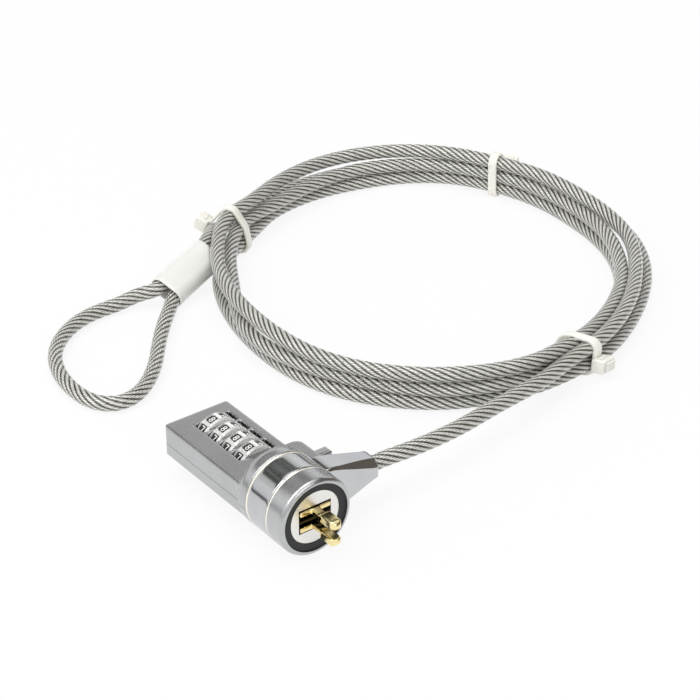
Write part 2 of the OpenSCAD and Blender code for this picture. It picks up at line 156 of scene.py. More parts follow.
@dataclass
class Shell:
    """Points in millimetres and faces that make one closed surface, or several."""

    points: np.ndarray
    faces: list[list[int]]

    def facing_out(self) -> Shell:
        """The same surface with its faces pointing outwards.

        Returns:
            This surface, or one with every face turned over.
        """
        if signed_volume(self.points - self.points.mean(axis=0), self.faces) < 0:
            return Shell(self.points, [face[::-1] for face in self.faces])
        return self

    @staticmethod
    def joined(parts: list[Shell]) -> Shell:
        """Several surfaces as one.

        Args:
            parts: the surfaces.

        Returns:
            A surface with all their points and faces.
        """
        starts = np.cumsum([0] + [len(part.points) for part in parts])
        faces = [[c + int(s) for c in f] for part, s in zip(parts, starts) for f in part.faces]
        return Shell(np.concatenate([part.points for part in parts]), faces)

    @staticmethod
    def looped(rings: np.ndarray) -> Shell:
        """A closed surface through rings x points x 3, whose last ring joins the first."""
        rows, cols = rings.shape[:2]
        return Shell(rings.reshape(-1, 3), grid_faces(rows, cols, True, True).tolist()).facing_out()

    @staticmethod
    def capped(rings: np.ndarray, tips: np.ndarray) -> Shell:
        """Rings of points joined in a row, closed by triangles to a tip at each end.

        Args:
            rings: the points, as an array of rings x points x 3.
            tips: the tip before the first ring and the tip after the last.

        Returns:
            The closed surface, with its four-cornered faces first.
        """
        rows, cols = rings.shape[:2]
        faces = grid_faces(rows, cols, False, True).tolist()
        tip, last = rows * cols, (rows - 1) * cols
        faces += [[(k + 1) % cols, k, tip] for k in range(cols)]
        faces += [[last + k, last + (k + 1) % cols, tip + 1] for k in range(cols)]
        return Shell(np.concatenate([rings.reshape(-1, 3), tips]), faces).facing_out()


def new_object(name: str, data: bpy.types.ID) -> Piece:
    """An object at the origin, linked into the scene.

    Args:
        name: its name.
        data: its mesh, curve, lamp or camera.

    Returns:
        The object.
    """
    made = bpy.data.objects.new(name, data)
    bpy.context.scene.collection.objects.link(made)
    return made


def shade_faces(mesh: bpy.types.Mesh, smooth: bool) -> None:
    """Shades the faces of a mesh as curved or as flat."""
    mesh.polygons.foreach_set("use_smooth", np.full(len(mesh.polygons), smooth))


def make_object(name: str, shell: Shell, material: Material, smooth: bool = True) -> Piece:
    """A mesh object at the origin, from millimetre points.

    Args:
        name: the piece's name.
        shell: its surface.
        material: its finish.
        smooth: whether its faces are shaded as a curved surface.

    Returns:
        The object, linked into the scene.
    """
    mesh = bpy.data.meshes.new(name)
    mesh.from_pydata((shell.points * MM).tolist(), [], shell.faces)
    shade_faces(mesh, smooth)
    mesh.update()
    mesh.materials.append(material)
    return new_object(name, mesh)


def declare(piece: Piece, body: str, slot: Slot, *nodes: str) -> None:
    """Says where a piece belongs.

    Args:
        piece: the finished piece.
        body: the body that it rides on.
        slot: not used.
        *nodes: the solids that it stands for.
    """
    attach(piece, body)
    if nodes:
        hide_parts(*nodes)
    LOG.info("%s rides on %s", piece.name, body)


def smooth_route(stations: list[Triple], spacing: float) -> np.ndarray:
    """A natural cubic spline through stations, sampled evenly along its length.

    The parameter is the running chord length. The second derivatives solve the
    usual three-term equations and are zero at both ends.

    Args:
        stations: the points it passes through, in millimetres.
        spacing: the largest distance between two samples.

    Returns:
        The samples, both ends among them.
    """
    p = np.array(stations, float)
    t = run_along(p)
    h = np.diff(t)
    n = len(p)
    system = np.eye(n)
    inner = np.arange(1, n - 1)
    system[inner, inner - 1] = h[:-1] / 6
    system[inner, inner] = (h[:-1] + h[1:]) / 3
    system[inner, inner + 1] = h[1:] / 6
    slope = np.diff(p, axis=0) / h[:, None]
    right = np.zeros_like(p)
    right[1:-1] = np.diff(slope, axis=0)
    bend = np.linalg.solve(system, right)
    s = np.linspace(0, t[-1], int(t[-1] / ROUTE_STEP))
    k = np.clip(np.searchsorted(t, s, side="right") - 1, 0, n - 2)
    w, b = h[k][:, None], ((s - t[k]) / h[k])[:, None]
    a = 1 - b
    fine = a * p[k] + b * p[k + 1] + ((a**3 - a) * bend[k] + (b**3 - b) * bend[k + 1]) * w**2 / 6
    run = run_along(fine)
    even = np.linspace(0, run[-1], math.ceil(run[-1] / spacing) + 1)
    return resampled(fine, run, even)


def rounded_box(size: Triple) -> Shell:
    """A block with rounded edges, centred on the origin.

    Each coordinate is half the size times a cosine or sine raised to a small
    power with its sign kept, so the surface runs close to a cuboid.

    Args:
        size: its three sizes.

    Returns:
        The closed surface.
    """
    lat = np.linspace(-math.pi / 2, math.pi / 2, BOX_ROWS)[1:-1, None]
    lon = np.arange(BOX_COLUMNS)[None, :] * TURN / BOX_COLUMNS
    x = squared(np.cos(lat), BOX_POWER) * squared(np.cos(lon), BOX_POWER)
    y = squared(np.cos(lat), BOX_POWER) * squared(np.sin(lon), BOX_POWER)
    z = squared(np.sin(lat), BOX_POWER) * np.ones_like(lon)
    rings = np.stack([x, y, z], axis=-1) * np.array(size) / 2
    return Shell.capped(rings, np.array([[0, 0, -size[2] / 2], [0, 0, size[2] / 2]]))


def rounded_outline(corners: np.ndarray, radius: float) -> np.ndarray:
    """A closed outline with round corners, from the centres of their arcs.

    Each arc turns from the outward direction of one side to that of the next.
    Two points near the ends of each side, a tenth of the way in, hold it flat.

    Args:
        corners: the arc centres, counter-clockwise.
        radius: the corner radius.

    Returns:
        The outline's points.
    """
    edge = np.roll(corners, -1, axis=0) - corners
    out = unit(np.stack([edge[:, 1], -edge[:, 0]], axis=1))
    share = np.linspace(0, 1, ARC_POINTS)[None, :, None]
    turned = unit(np.roll(out, 1, axis=0)[:, None] * (1 - share) + out[:, None] * share)
    arcs = corners[:, None] + radius * turned
    after = np.roll(arcs[:, 0], -1, axis=0)
    held = np.stack([arcs[:, -1] * (1 - w) + after * w for w in (0.1, 0.9)], axis=1)
    return np.concatenate([arcs, held], axis=1).reshape(-1, 2)


def turned_ring(front: float, back: float, inner: float, outer: float, radius: float) -> Shell:
    """A ring about the Y axis with rounded edges.

    Args:
        front: where it starts along the axis.
        back: where it ends.
        inner: its bore's radius.
        outer: its outside radius.
        radius: the radius of its edges.

    Returns:
        The closed surface, centred on the axis.
    """
    a, b, c, d = front + radius, back - radius, inner + radius, outer - radius
    outline = rounded_outline(np.array([[a, c], [b, c], [b, d], [a, d]]), radius)
    turn = np.arange(RING_COLUMNS) * TURN / RING_COLUMNS
    x = outline[:, 1:] * np.cos(turn)
    z = outline[:, 1:] * np.sin(turn)
    y = np.broadcast_to(outline[:, :1], x.shape)
    return Shell.looped(np.stack([x, y, z], axis=-1))


def softened(source: Piece, name: str, voxel: float, passes: int) -> Piece:
    """A copy of a solid with its edges rounded over, as a polished casting has them.

    The copy is merged, covered with a fine even mesh, smoothed and, where that
    makes too many triangles, thinned.

    Args:
        source: the solid, which stays as it is.
        name: the new piece's name.
        voxel: the size of the even mesh, in metres.
        passes: how often it is smoothed.

    Returns:
        The new piece, with no modifiers left on it and no material.
    """
    work = bmesh.new()
    work.from_mesh(source.data)
    bmesh.ops.remove_doubles(work, verts=work.verts, dist=MERGE_WITHIN)
    mesh = bpy.data.meshes.new(name)
    work.to_mesh(mesh)
    work.free()
    helper = new_object(name + ".helper", mesh)
    remesh = helper.modifiers.new("even", "REMESH")
    remesh.mode = "VOXEL"
    remesh.voxel_size = voxel
    smooth = helper.modifiers.new("soften", "SMOOTH")
    smooth.factor = 0.5
    smooth.iterations = passes
    even = helper.evaluated_get(bpy.context.evaluated_depsgraph_get()).to_mesh()
    triangles = sum(len(polygon.vertices) - 2 for polygon in even.polygons)
    if triangles > MOST_TRIANGLES:
        thin = helper.modifiers.new("thin", "DECIMATE")
        thin.ratio = MOST_TRIANGLES / triangles
    finished = helper.evaluated_get(bpy.context.evaluated_depsgraph_get())
    result = bpy.data.meshes.new_from_object(finished)
    bpy.data.objects.remove(helper)
    result.name = name
    result.materials.clear()
    shade_faces(result, True)
    return new_object(name, result)


# ---- Shader nodes ----


@dataclass
class Graph:
    """Short ways to place and join nodes in one node tree."""

    tree: bpy.types.NodeTree

    def put(self, socket: Socket, value: object) -> None:
        """Gives an input its value.

        Args:
            socket: the input.
            value: another node's output, a number, a vector or a colour.
        """
        if isinstance(value, bpy.types.NodeSocket):
            self.tree.links.new(value, socket)
        else:
            socket.default_value = value

    def fill(self, node: Node, inputs: dict[str | int, object]) -> None:
        """Gives several inputs of a node their values, by name or number."""
        for key, value in inputs.items():
            self.put(node.inputs[key], value)

    def add(self, kind: str, inputs: dict[str | int, object] | None = None, **settings: object) -> Node:
        """A new node.

        Args:
            kind: its type.
            inputs: the values of some inputs, by name or number.
            **settings: some of its settings.

        Returns:
            The node.
        """
        node = self.tree.nodes.new(kind)
        for key, value in settings.items():
            setattr(node, key, value)
        self.fill(node, inputs or {})
        return node

    def group(self, group: bpy.types.NodeTree, inputs: dict[str | int, object]) -> Node:
        """A shared effect placed in this tree, with its own values."""
        return self.add("ShaderNodeGroup", inputs, node_tree=group)

    def math(self, operation: str, *values: object) -> Socket:
        """The result of a Math node on one or two values."""
        return self.add("ShaderNodeMath", dict(enumerate(values)), operation=operation).outputs[0]

    def times(self, a: object, b: object) -> Socket:
        """The product of two values."""
        return self.math("MULTIPLY", a, b)

    def plus(self, a: object, b: object) -> Socket:
        """The sum of two values."""
        return self.math("ADD", a, b)

    def noise(self, vector: Socket, scale: float, detail: float = 2.0, rough: float = 0.55) -> Socket:
        """A Noise node's value, from 0 to 1."""
        inputs = {"Vector": vector, "Scale": scale, "Detail": detail, "Roughness": rough}
        return self.add("ShaderNodeTexNoise", inputs).outputs["Fac"]

    def spread(self, value: Socket, low: float, high: float, a: float = 0.0, b: float = 1.0) -> Socket:
        """A value carried from the range a..b to low..high, without overshoot."""
        inputs = {"Value": value, "From Min": a, "From Max": b, "To Min": low, "To Max": high}
        return self.add("ShaderNodeMapRange", inputs).outputs["Result"]

    def mix(self, factor: Socket, a: object, b: object) -> Socket:
        """A colour between a and b."""
        return self.add("ShaderNodeMix", {0: factor, 6: a, 7: b}, data_type="RGBA").outputs[2]

    def mix_shaders(self, factor: Socket, a: Node, b: Node) -> Socket:
        """A shader between those of two nodes."""
        return self.add("ShaderNodeMixShader", {0: factor, 1: a.outputs[0], 2: b.outputs[0]}).outputs[0]

    def bump(self, height: Socket, distance: float) -> Socket:
        """A Bump node's normal, for a height of 0 to 1 and a depth in metres."""
        inputs = {"Height": height, "Distance": distance, "Strength": 1.0}
        return self.add("ShaderNodeBump", inputs).outputs["Normal"]

    def stretched(self, vector: Socket, scale: Triple) -> Socket:
        """A vector with each part multiplied by its own number."""
        return self.add("ShaderNodeVectorMath", {0: vector, 1: scale}, operation="MULTIPLY").outputs[0]

    def parts(self, vector: Socket) -> tuple[Socket, Socket, Socket]:
        """The three numbers of a vector."""
        return tuple(self.add("ShaderNodeSeparateXYZ", {0: vector}).outputs)


class EffectGroups:
    """Effects that several finishes share, each one a node group made once."""

    def __init__(self) -> None:
        """Makes the groups."""
        self.cast = self._cast()
        self.turned = self._turned()
        self.lay = self._lay()

    @staticmethod
    def _blank(name: str, numbers: tuple[str, ...], outputs: tuple[str, ...]) -> tuple:
        """An empty group with its sockets.

        Args:
            name: the group's name.
            numbers: the names of its inputs after the vector.
            outputs: the names of its outputs, which are numbers.

        Returns:
            The group, its graph, the values of its inputs and its output node.
        """
        group = bpy.data.node_groups.new(name, "ShaderNodeTree")
        group.interface.new_socket("Vector", in_out="INPUT", socket_type="NodeSocketVector")
        for way, names in (("INPUT", numbers), ("OUTPUT", outputs)):
            for key in names:
                group.interface.new_socket(key, in_out=way, socket_type="NodeSocketFloat")
        g = Graph(group)
        return group, g, g.add("NodeGroupInput").outputs, g.add("NodeGroupOutput")

    def _cast(self) -> bpy.types.NodeTree:
        """Cast or moulded surface: slow shading, handling marks and a fine grain.

        Returns:
            The group.
        """
        outputs = ("Shade", "Marks", "Height")
        group, g, given, result = self._blank("cast surface", ("Marks",), outputs)
        slow = g.noise(given["Vector"], 90.0)
        grain = g.noise(given["Vector"], 2500.0, rough=0.6)
        streak = g.noise(g.stretched(given["Vector"], (900.0, 120.0, 500.0)), 1.0, 4.0, 0.7)
        rubbed = g.times(g.spread(streak, 0.0, 1.0, 0.56, 0.74), given["Marks"])
        values = {
            "Shade": g.plus(g.times(slow, 0.7), g.times(grain, 0.3)),
            "Marks": rubbed,
            "Height": g.math("SUBTRACT", grain, g.times(rubbed, 0.3)),
        }
        g.fill(result, values)
        return group

    def _turned(self) -> bpy.types.NodeTree:
        """Turned or drawn metal: fine lines round the part, with a slow drift.

        Returns:
            The group.
        """
        group, g, given, result = self._blank("turned surface", (), ("Shade", "Height"))
        lines = g.noise(g.stretched(given["Vector"], (300.0, 9000.0, 300.0)), 1.0, 3.0, 0.6)
        slow = g.noise(given["Vector"], 120.0)
        g.fill(result, {"Shade": g.plus(g.times(lines, 0.5), g.times(slow, 0.5)), "Height": lines})
        return group

    def _lay(self) -> bpy.types.NodeTree:
        """Laid steel rope: strands wound to the right, each of wires along the rope.

        The map gives the distance along the rope in millimetres and the strand
        number around it. Grooves lie where the strand number is a half; the rope's
        finish uses the Groove output for painted shade there, and for metal and
        roughness. A wire keeps its place around the rope, so its number is the
        strand number and the strands that the lay passes in that distance, times
        three wires a strand; the finish uses the Wire output for painted shade
        between wires.

        Returns:
            The group.
        """
        outputs = ("Groove", "Wire", "Height")
        group, g, given, result = self._blank("rope lay", (), outputs)
        along, strand, _ = g.parts(given["Vector"])
        wave = g.math("COSINE", g.times(strand, TURN))
        # Painted shade: how much the grooves between strands are darkened.
        groove = g.spread(wave, 1.0, 0.0, -0.8, 0.45)
        crest = g.spread(wave, 0.0, 1.0, -1.0, 1.0)
        number = g.times(g.plus(strand, g.times(along, ROPE_STRANDS / ROPE_LAY)), 3.0)
        wire = g.spread(g.math("COSINE", g.times(number, TURN)), 0.0, 1.0, -1.0, 0.1)
        values = {
            "Groove": g.math("POWER", groove, 1.2),
            "Wire": wire,
            "Height": g.plus(g.times(crest, 0.6), g.times(wire, 0.4)),
        }
        g.fill(result, values)
        return group


def new_material(name: str) -> tuple[Material, Graph, Node]:
    """An empty material.

    Args:
        name: its name.

    Returns:
        The material, its graph and its Principled shader.
    """
    material = bpy.data.materials.new(name)
    material.use_nodes = True
    shader = next(n for n in material.node_tree.nodes if n.type == "BSDF_PRINCIPLED")
    return material, Graph(material.node_tree), shader


def rgb(colour: Triple, gain: float = 1.0) -> tuple[float, float, float, float]:
    """A colour with its strength changed, as a socket takes it."""
    return (*(min(1.0, c * gain) for c in colour), 1.0)


# ---- Finishes ----


class Slot(Enum):
    """The material slots of the record."""

    SATIN = "satin_chrome"
    BRIGHT = "bright_chrome"
    STEEL = "machined_steel"
    SPRING = "spring_steel"
    BRASS = "brass"
    RUBBER = "black_rubber"
    CABLE = "coated_cable"
    FERRULE = "ferrule_metal"
    SLEEVE = "white_sleeve"
    NYLON = "nylon"


@dataclass(frozen=True)
class Finish:
    """A surface in two shades, with an uneven sheen and a fine relief."""

    name: str
    colour: Triple
    shadow: Triple
    rough: float
    rough_more: float
    grain: float
    marks: float = 0.4
    contrast: ClassVar[Pair] = (0.35, 0.65)
    sheen: ClassVar[Pair] = (0.3, 0.7)

    def build(self, groups: EffectGroups) -> Material:
        """Makes the material.

        As the shade of the surface rises, the colour goes from the shadow to the
        full colour and the roughness from its lower to its higher value.

        Args:
            groups: the shared effects.

        Returns:
            The material.
        """
        material, g, shader = new_material(self.name)
        place = g.add("ShaderNodeTexCoord").outputs["Object"]
        surface = self.surface(g, groups, place).outputs
        rise = g.spread(surface["Shade"], 0.0, 1.0, *self.contrast)
        tone = g.mix(rise, rgb(self.shadow), rgb(self.colour))
        rough = g.spread(surface["Shade"], self.rough, self.rough_more, *self.sheen)
        inputs = {
            "Base Color": self.tinted(g, surface, place, tone),
            "Roughness": self.dulled(g, surface, rough),
            "Normal": g.bump(surface["Height"], self.grain),
            **self.constants(),
        }
        g.fill(shader, inputs)
        return material

    def surface(self, g: Graph, groups: EffectGroups, place: Socket) -> Node:
        """The shared effect that the finish is made from."""
        return g.group(groups.cast, {"Vector": place, "Marks": self.marks})

    def tinted(self, g: Graph, surface: Outputs, place: Socket, tone: Socket) -> Socket:
        """The colour: here that of the shaded surface."""
        return tone

    def dulled(self, g: Graph, surface: Outputs, rough: Socket) -> Socket:
        """The roughness: here that of the shaded surface."""
        return rough

    def constants(self) -> dict[str, object]:
        """What is the same all over the surface, for the shader's own inputs."""
        return {"Metallic": 1.0}


@dataclass(frozen=True)
class Moulded(Finish):
    """Moulded rubber, nylon, plastic, and the pads and numerals of the dials."""

    inside: float = 0.0
    gloss: float = 0.0

    def constants(self) -> dict[str, object]:
        """How far light goes in, and the shine of its skin.

        Returns:
            Values for the shader's own inputs.
        """
        return {
            "Metallic": 0.0,
            "Subsurface Weight": self.inside,
            "Subsurface Radius": (0.002, 0.002, 0.0018),
            "Subsurface Scale": 1.0,
            "Coat Weight": self.gloss,
            "Coat Roughness": 0.12,
        }


@dataclass(frozen=True)
class CastMetal(Finish):
    """Plated casting: grain, handling marks, an uneven sheen and, where set, painted shade along Y."""

    marks: float = 0.5
    # Painted shade: from this place along Y, in metres, the colour turns dark towards the inside of the
    # lock.
    dark_from: float | None = None
    metal: float = 1.0
    fade: ClassVar[float] = 0.0007

    def tinted(self, g: Graph, surface: Outputs, place: Socket, tone: Socket) -> Socket:
        """The colour: bright where it is rubbed, and darkened with painted shade behind a place along
        Y, inside the lock.

        Args:
            g: the material's graph.
            surface: the outputs of the shared effect.
            place: the place on the piece.
            tone: the colour of the shaded surface.

        Returns:
            The colour.
        """
        worn = g.mix(g.times(surface["Marks"], 0.5), tone, rgb(self.colour, 1.15))
        if self.dark_from is None:
            return worn
        # Painted shade: the colour darkens past this place along Y, deeper inside the lock.
        depth = g.spread(g.parts(place)[1], 0.0, 0.93, self.dark_from, self.dark_from + self.fade)
        return g.mix(depth, worn, (0.02, 0.022, 0.025, 1.0))

    def dulled(self, g: Graph, surface: Outputs, rough: Socket) -> Socket:
        """The roughness: that of the shaded surface, more where it is rubbed."""
        return g.plus(rough, g.times(surface["Marks"], 0.06))

    def constants(self) -> dict[str, object]:
        """How metallic it is."""
        return {"Metallic": self.metal}


@dataclass(frozen=True)
class TurnedMetal(Finish):
    """Metal cut on a lathe or drawn as wire: fine lines and a slow drift."""

    contrast: ClassVar[Pair] = (0.3, 0.7)

    def surface(self, g: Graph, groups: EffectGroups, place: Socket) -> Node:
        """The shared effect that the finish is made from."""
        return g.group(groups.turned, {"Vector": place})


@dataclass(frozen=True)
class CoatedRope:
    """Laid steel rope under a smooth skin of clear plastic."""

    name: str
    wire: Triple
    # The colour of the painted shade in the grooves between strands.
    groove: Triple

    def build(self, groups: EffectGroups) -> Material:
        """Makes the material, from the shared rope lay on the rope's own map.

        The wires are silver that noise lifts from a darker to the full colour, in
        small spots as painted glints and in a slow drift of tone. The gaps between
        wires take a weaker painted shade, and the grooves between strands take the
        full painted shade colour.

        Args:
            groups: the shared effects.

        Returns:
            The material.
        """
        material, g, shader = new_material(self.name)
        place = g.add("ShaderNodeUVMap", uv_map=ROPE_MAP).outputs["UV"]
        lay = g.group(groups.lay, {"Vector": place}).outputs
        spot = g.add("ShaderNodeTexCoord").outputs["Object"]
        # Painted glints: fine noise spots lift the wire colour, and a slow noise adds a drift of tone.
        painted_glint = g.spread(g.noise(spot, 1100.0), 0.0, 0.75, 0.42, 0.56)
        drift = g.plus(painted_glint, g.spread(g.noise(spot, 160.0), 0.0, 0.25, 0.35, 0.65))
        silver = g.mix(drift, rgb(self.wire, 0.74), rgb(self.wire))
        # Painted shade in the gaps between wires, at twice the grooves' shade colour.
        wires = g.mix(g.spread(lay["Wire"], 0.65, 0.0), silver, rgb(self.groove, 2.0))
        inputs = {
            # Painted shade in the grooves between strands.
            "Base Color": g.mix(lay["Groove"], wires, rgb(self.groove)),
            "Metallic": g.spread(lay["Groove"], 0.2, 0.1),
            "Roughness": g.spread(lay["Groove"], 0.2, 0.5),
            "Normal": g.bump(lay["Height"], 0.0003),
            "Coat Weight": 1.0,
            "Coat Roughness": 0.06,
            "Coat IOR": 1.5,
        }
        g.fill(shader, inputs)
        return material


class Palette:
    """Every finish of the lock, made once: one for each slot, and five special ones."""

    slots: ClassVar[dict[Slot, Finish | CoatedRope]] = {
        Slot.SATIN: CastMetal(
            "satin_chrome", (0.52, 0.525, 0.53), (0.47, 0.475, 0.48), 0.22, 0.3, 0.000002
        ),
        Slot.BRIGHT: CastMetal(
            "bright_chrome", (0.57, 0.58, 0.59), (0.5, 0.51, 0.52), 0.1, 0.16, 0.000001, marks=0.2
        ),
        Slot.STEEL: TurnedMetal(
            "machined_steel", (0.66, 0.66, 0.67), (0.5, 0.5, 0.52), 0.22, 0.34, 0.000004
        ),
        Slot.SPRING: TurnedMetal(
            "spring_steel", (0.5, 0.5, 0.52), (0.38, 0.38, 0.41), 0.26, 0.38, 0.000004
        ),
        # Brass deeper inside the lock than Y = -19.6 mm gets painted shade.
        Slot.BRASS: CastMetal(
            "brass", (0.98, 0.86, 0.5), (0.86, 0.7, 0.34), 0.1, 0.18, 0.000004,
            marks=0.4, dark_from=-0.0196,
        ),
        Slot.RUBBER: Moulded(
            "black_rubber", (0.016, 0.019, 0.018), (0.009, 0.011, 0.01), 0.5, 0.62, 0.00002
        ),
        Slot.FERRULE: TurnedMetal(
            "ferrule_metal", (0.86, 0.63, 0.3), (0.66, 0.46, 0.2), 0.22, 0.34, 0.000004
        ),
        Slot.SLEEVE: Moulded(
            "white_sleeve", (0.85, 0.845, 0.8), (0.8, 0.795, 0.75), 0.3, 0.4, 0.00001,
            inside=0.35, gloss=0.25,
        ),
        Slot.NYLON: Moulded(
            "nylon", (0.95, 0.93, 0.84), (0.89, 0.86, 0.75), 0.34, 0.46, 0.00001,
            inside=0.5, gloss=0.2,
        ),
        # The rope's second colour is the painted shade of its grooves.
        Slot.CABLE: CoatedRope("coated_cable", (1.0, 0.985, 0.93), (0.03, 0.029, 0.014)),
    }
    dial_chrome_look: ClassVar[CastMetal] = CastMetal(
        "dial_chrome", (0.95, 0.95, 0.93), (0.88, 0.88, 0.86), 0.12, 0.18, 0.000003,
        marks=0.3, metal=0.4,
    )
    face_look: ClassVar[CastMetal] = CastMetal(
        "face_plate", (0.88, 0.87, 0.84), (0.78, 0.77, 0.74), 0.3, 0.4, 0.00001
    )
    bead_look: ClassVar[CastMetal] = CastMetal(
        "bead_chrome", (1.0, 0.97, 0.86), (0.94, 0.9, 0.78), 0.16, 0.22, 0.0, marks=0.1, metal=0.5
    )
    pad_look: ClassVar[Moulded] = Moulded(
        "pad_paint", (0.02, 0.02, 0.022), (0.012, 0.012, 0.013), 0.3, 0.42, 0.000006
    )
    numeral_look: ClassVar[Moulded] = Moulded(
        "numeral_paint", (0.9, 0.9, 0.88), (0.82, 0.82, 0.8), 0.4, 0.5, 0.000006
    )

    def __init__(self) -> None:
        """Makes the shared groups and the finishes."""
        groups = EffectGroups()
        self.finish = {slot: look.build(groups) for slot, look in self.slots.items()}
        self.dial_chrome = self.dial_chrome_look.build(groups)
        self.face = self.face_look.build(groups)
        self.bead = self.bead_look.build(groups)
        self.pad_paint = self.pad_look.build(groups)
        self.numeral_paint = self.numeral_look.build(groups)


# ---- Cable ----


@dataclass
class CrimpLine:
    """The line that the crimp and its cover lie along, as the source has it."""

    start: Triple = (28.5, 95.0, 3.9)
    end: Triple = (46.5, 100.9, 7.4)
    roll: float = 26.0
    width: float = 10.2
    height: float = 5.9
    wall: float = 0.45
    ferrule_start: float = 4.5
    ferrule_length: float = 11.0
    strand: float = 2.05

    def __post_init__(self) -> None:
        """Works out the length and the three directions."""
        span = np.subtract(self.end, self.start)
        self.length = float(np.linalg.norm(span))
        self.along = unit(span)
        level = unit(np.array([-self.along[1], self.along[0], 0.0]))
        steep = np.cross(self.along, level)
        angle = math.radians(self.roll)
        self.side = math.cos(angle) * level + math.sin(angle) * steep
        self.rise = np.cross(self.along, self.side)

    def at(self, s: float, side: float, rise: float = 0.0) -> list[float]:
        """The point at a distance along the line and two distances off it."""
        place = np.array(self.start) + s * self.along + side * self.side + rise * self.rise
        return place.tolist()


@dataclass
class SecurityCable:
    """The coated rope: from the arm, round the coil and the eye, into the crimp.

    The lead, the tail and the eye are given by their points. The coil is given lap
    by lap: at each of the angles, its distance from the middle radius and height.
    """

    crimp: CrimpLine
    radius: float = 2.0
    columns_per_strand: int = 6
    ridge: float = 0.12
    end_bulge: float = 0.3
    spacing: float = 1.0
    centre: Pair = (90.0, 62.5)
    mean_radius: float = 59.0
    oval: float = 4.0
    oval_angle: float = 52.7
    coil_half_width: float = 18.0
    lead: tuple[Triple, ...] = (
        (16.5, -10.55, 10.0), (19.0, -10.55, 10.0), (26.0, -10.9, 9.9), (34.6, -10.7, 9.5),
        (43.0, -9.9, 9.1), (51.5, -8.4, 8.7), (60.0, -6.8, 8.3), (69.0, -5.5, 8.0),
        (77.5, -3.8, 7.8), (84.5, -1.9, 7.8),
    )
    angles: tuple[float, ...] = (
        277, 300, 320, 340, 360, 375, 389, 405, 430, 450,
        463, 473, 483, 495, 515, 540, 570, 600, 620, 629,
    )
    laps: tuple[tuple[Pair, ...], ...] = (
        (
            (2.9, 8.0), (2.8, 7.9), (3.4, 7.7), (4.0, 7.6), (-0.1, 9.6), (-2.2, 10.4), (-4.1, 11.0),
            (-2.0, 10.4), (0.0, 9.9), (-1.0, 10.1), (-2.0, 10.4), (-1.8, 10.8), (0.6, 10.8),
            (0.6, 10.1), (-0.5, 9.9), (-2.0, 10.2), (-0.8, 10.0), (0.5, 10.2), (1.0, 10.0),
            (-0.3, 9.4),
        ),
        (
            (-1.1, 8.4), (-1.1, 7.1), (-0.4, 6.3), (-0.7, 6.4), (-1.7, 5.9), (-2.9, 6.3), (-4.0, 7.0),
            (-2.7, 6.4), (-2.5, 6.0), (-4.3, 6.0), (-4.4, 6.4), (-2.8, 6.8), (-2.1, 7.0), (-2.6, 6.2),
            (-3.6, 6.1), (-0.6, 5.9), (-1.3, 6.0), (0.6, 6.0), (0.5, 6.0), (-0.9, 5.5),
        ),
        (
            (-1.6, 4.2), (-1.2, 2.0), (-0.2, 2.0), (-0.5, 2.0), (-2.1, 2.0), (-2.6, 2.3), (-3.6, 3.0),
            (-2.1, 2.4), (-3.0, 2.0), (-2.5, 2.0), (-2.8, 2.3), (-3.6, 2.7), (-2.7, 3.0), (-0.6, 2.3),
            (-0.8, 2.1), (-2.0, 2.0), (-0.5, 2.1), (0.3, 2.0), (0.7, 2.0), (1.8, 2.6),
        ),
        (
            (2.8, 3.0), (3.7, 2.1), (6.2, 2.0), (8.2, 2.1), (7.6, 2.0), (6.6, 2.2), (5.7, 3.0),
            (5.0, 2.1), (4.4, 2.0), (4.2, 2.0), (4.0, 2.5), (3.9, 3.0),
        ),
    )
    tail: tuple[Triple, ...] = (
        (61.8, 116.4, 4.1), (57.2, 113.6, 5.8), (53.5, 109.8, 7.6), (49.9, 106.3, 8.6),
    )
    eye: tuple[Triple, ...] = (
        (22.9, 99.3, 3.4), (17.3, 100.2, 2.3), (10.9, 100.4, 2.05), (4.4, 99.3, 2.05),
        (-1.9, 96.3, 2.05), (-7.0, 92.2, 2.05), (-10.9, 87.2, 2.05), (-13.7, 81.0, 2.05),
        (-15.2, 74.4, 2.05), (-15.4, 68.2, 2.05), (-14.1, 62.6, 2.05), (-10.6, 59.0, 2.05),
        (-6.0, 58.6, 2.05), (-1.0, 60.8, 2.05), (4.2, 65.0, 2.05), (9.2, 70.4, 2.05),
        (13.8, 76.2, 2.05), (18.1, 81.3, 2.1), (22.2, 85.7, 2.3),
    )

    def __post_init__(self) -> None:
        """Lays the whole route, keeps it off the floor and splits it where the coil starts."""
        coil = self.coil_stations()
        whole = smooth_route([*self.lead, *coil, *self.end_stations()], self.spacing)
        split = int(np.argmin(np.linalg.norm(whole - np.array(coil[0]), axis=1)))
        self.whole = np.concatenate([whole[:, :2], np.maximum(whole[:, 2:], self.radius)], axis=1)
        self.lead_route = self.whole[: split + 1]
        self.rope_route = self.whole[split:]

    def coil_middle(self, degrees: np.ndarray) -> np.ndarray:
        """Middle radius of the coil at an angle: an oval, longest at its own angle."""
        return self.mean_radius + self.oval * np.cos(np.radians(2 * (degrees - self.oval_angle)))

    def coil_stations(self) -> list[list[float]]:
        """The points of the coil, lap after lap, from its angles and offsets.

        Returns:
            The points.
        """
        stations = []
        for lap in self.laps:
            turn = np.array(self.angles[: len(lap)])
            offset = np.array(lap)
            reach = self.coil_middle(turn) + offset[:, 0]
            x = self.centre[0] + reach * np.cos(np.radians(turn))
            y = self.centre[1] + reach * np.sin(np.radians(turn))
            stations += np.stack([x, y, offset[:, 1]], axis=1).tolist()
        return stations

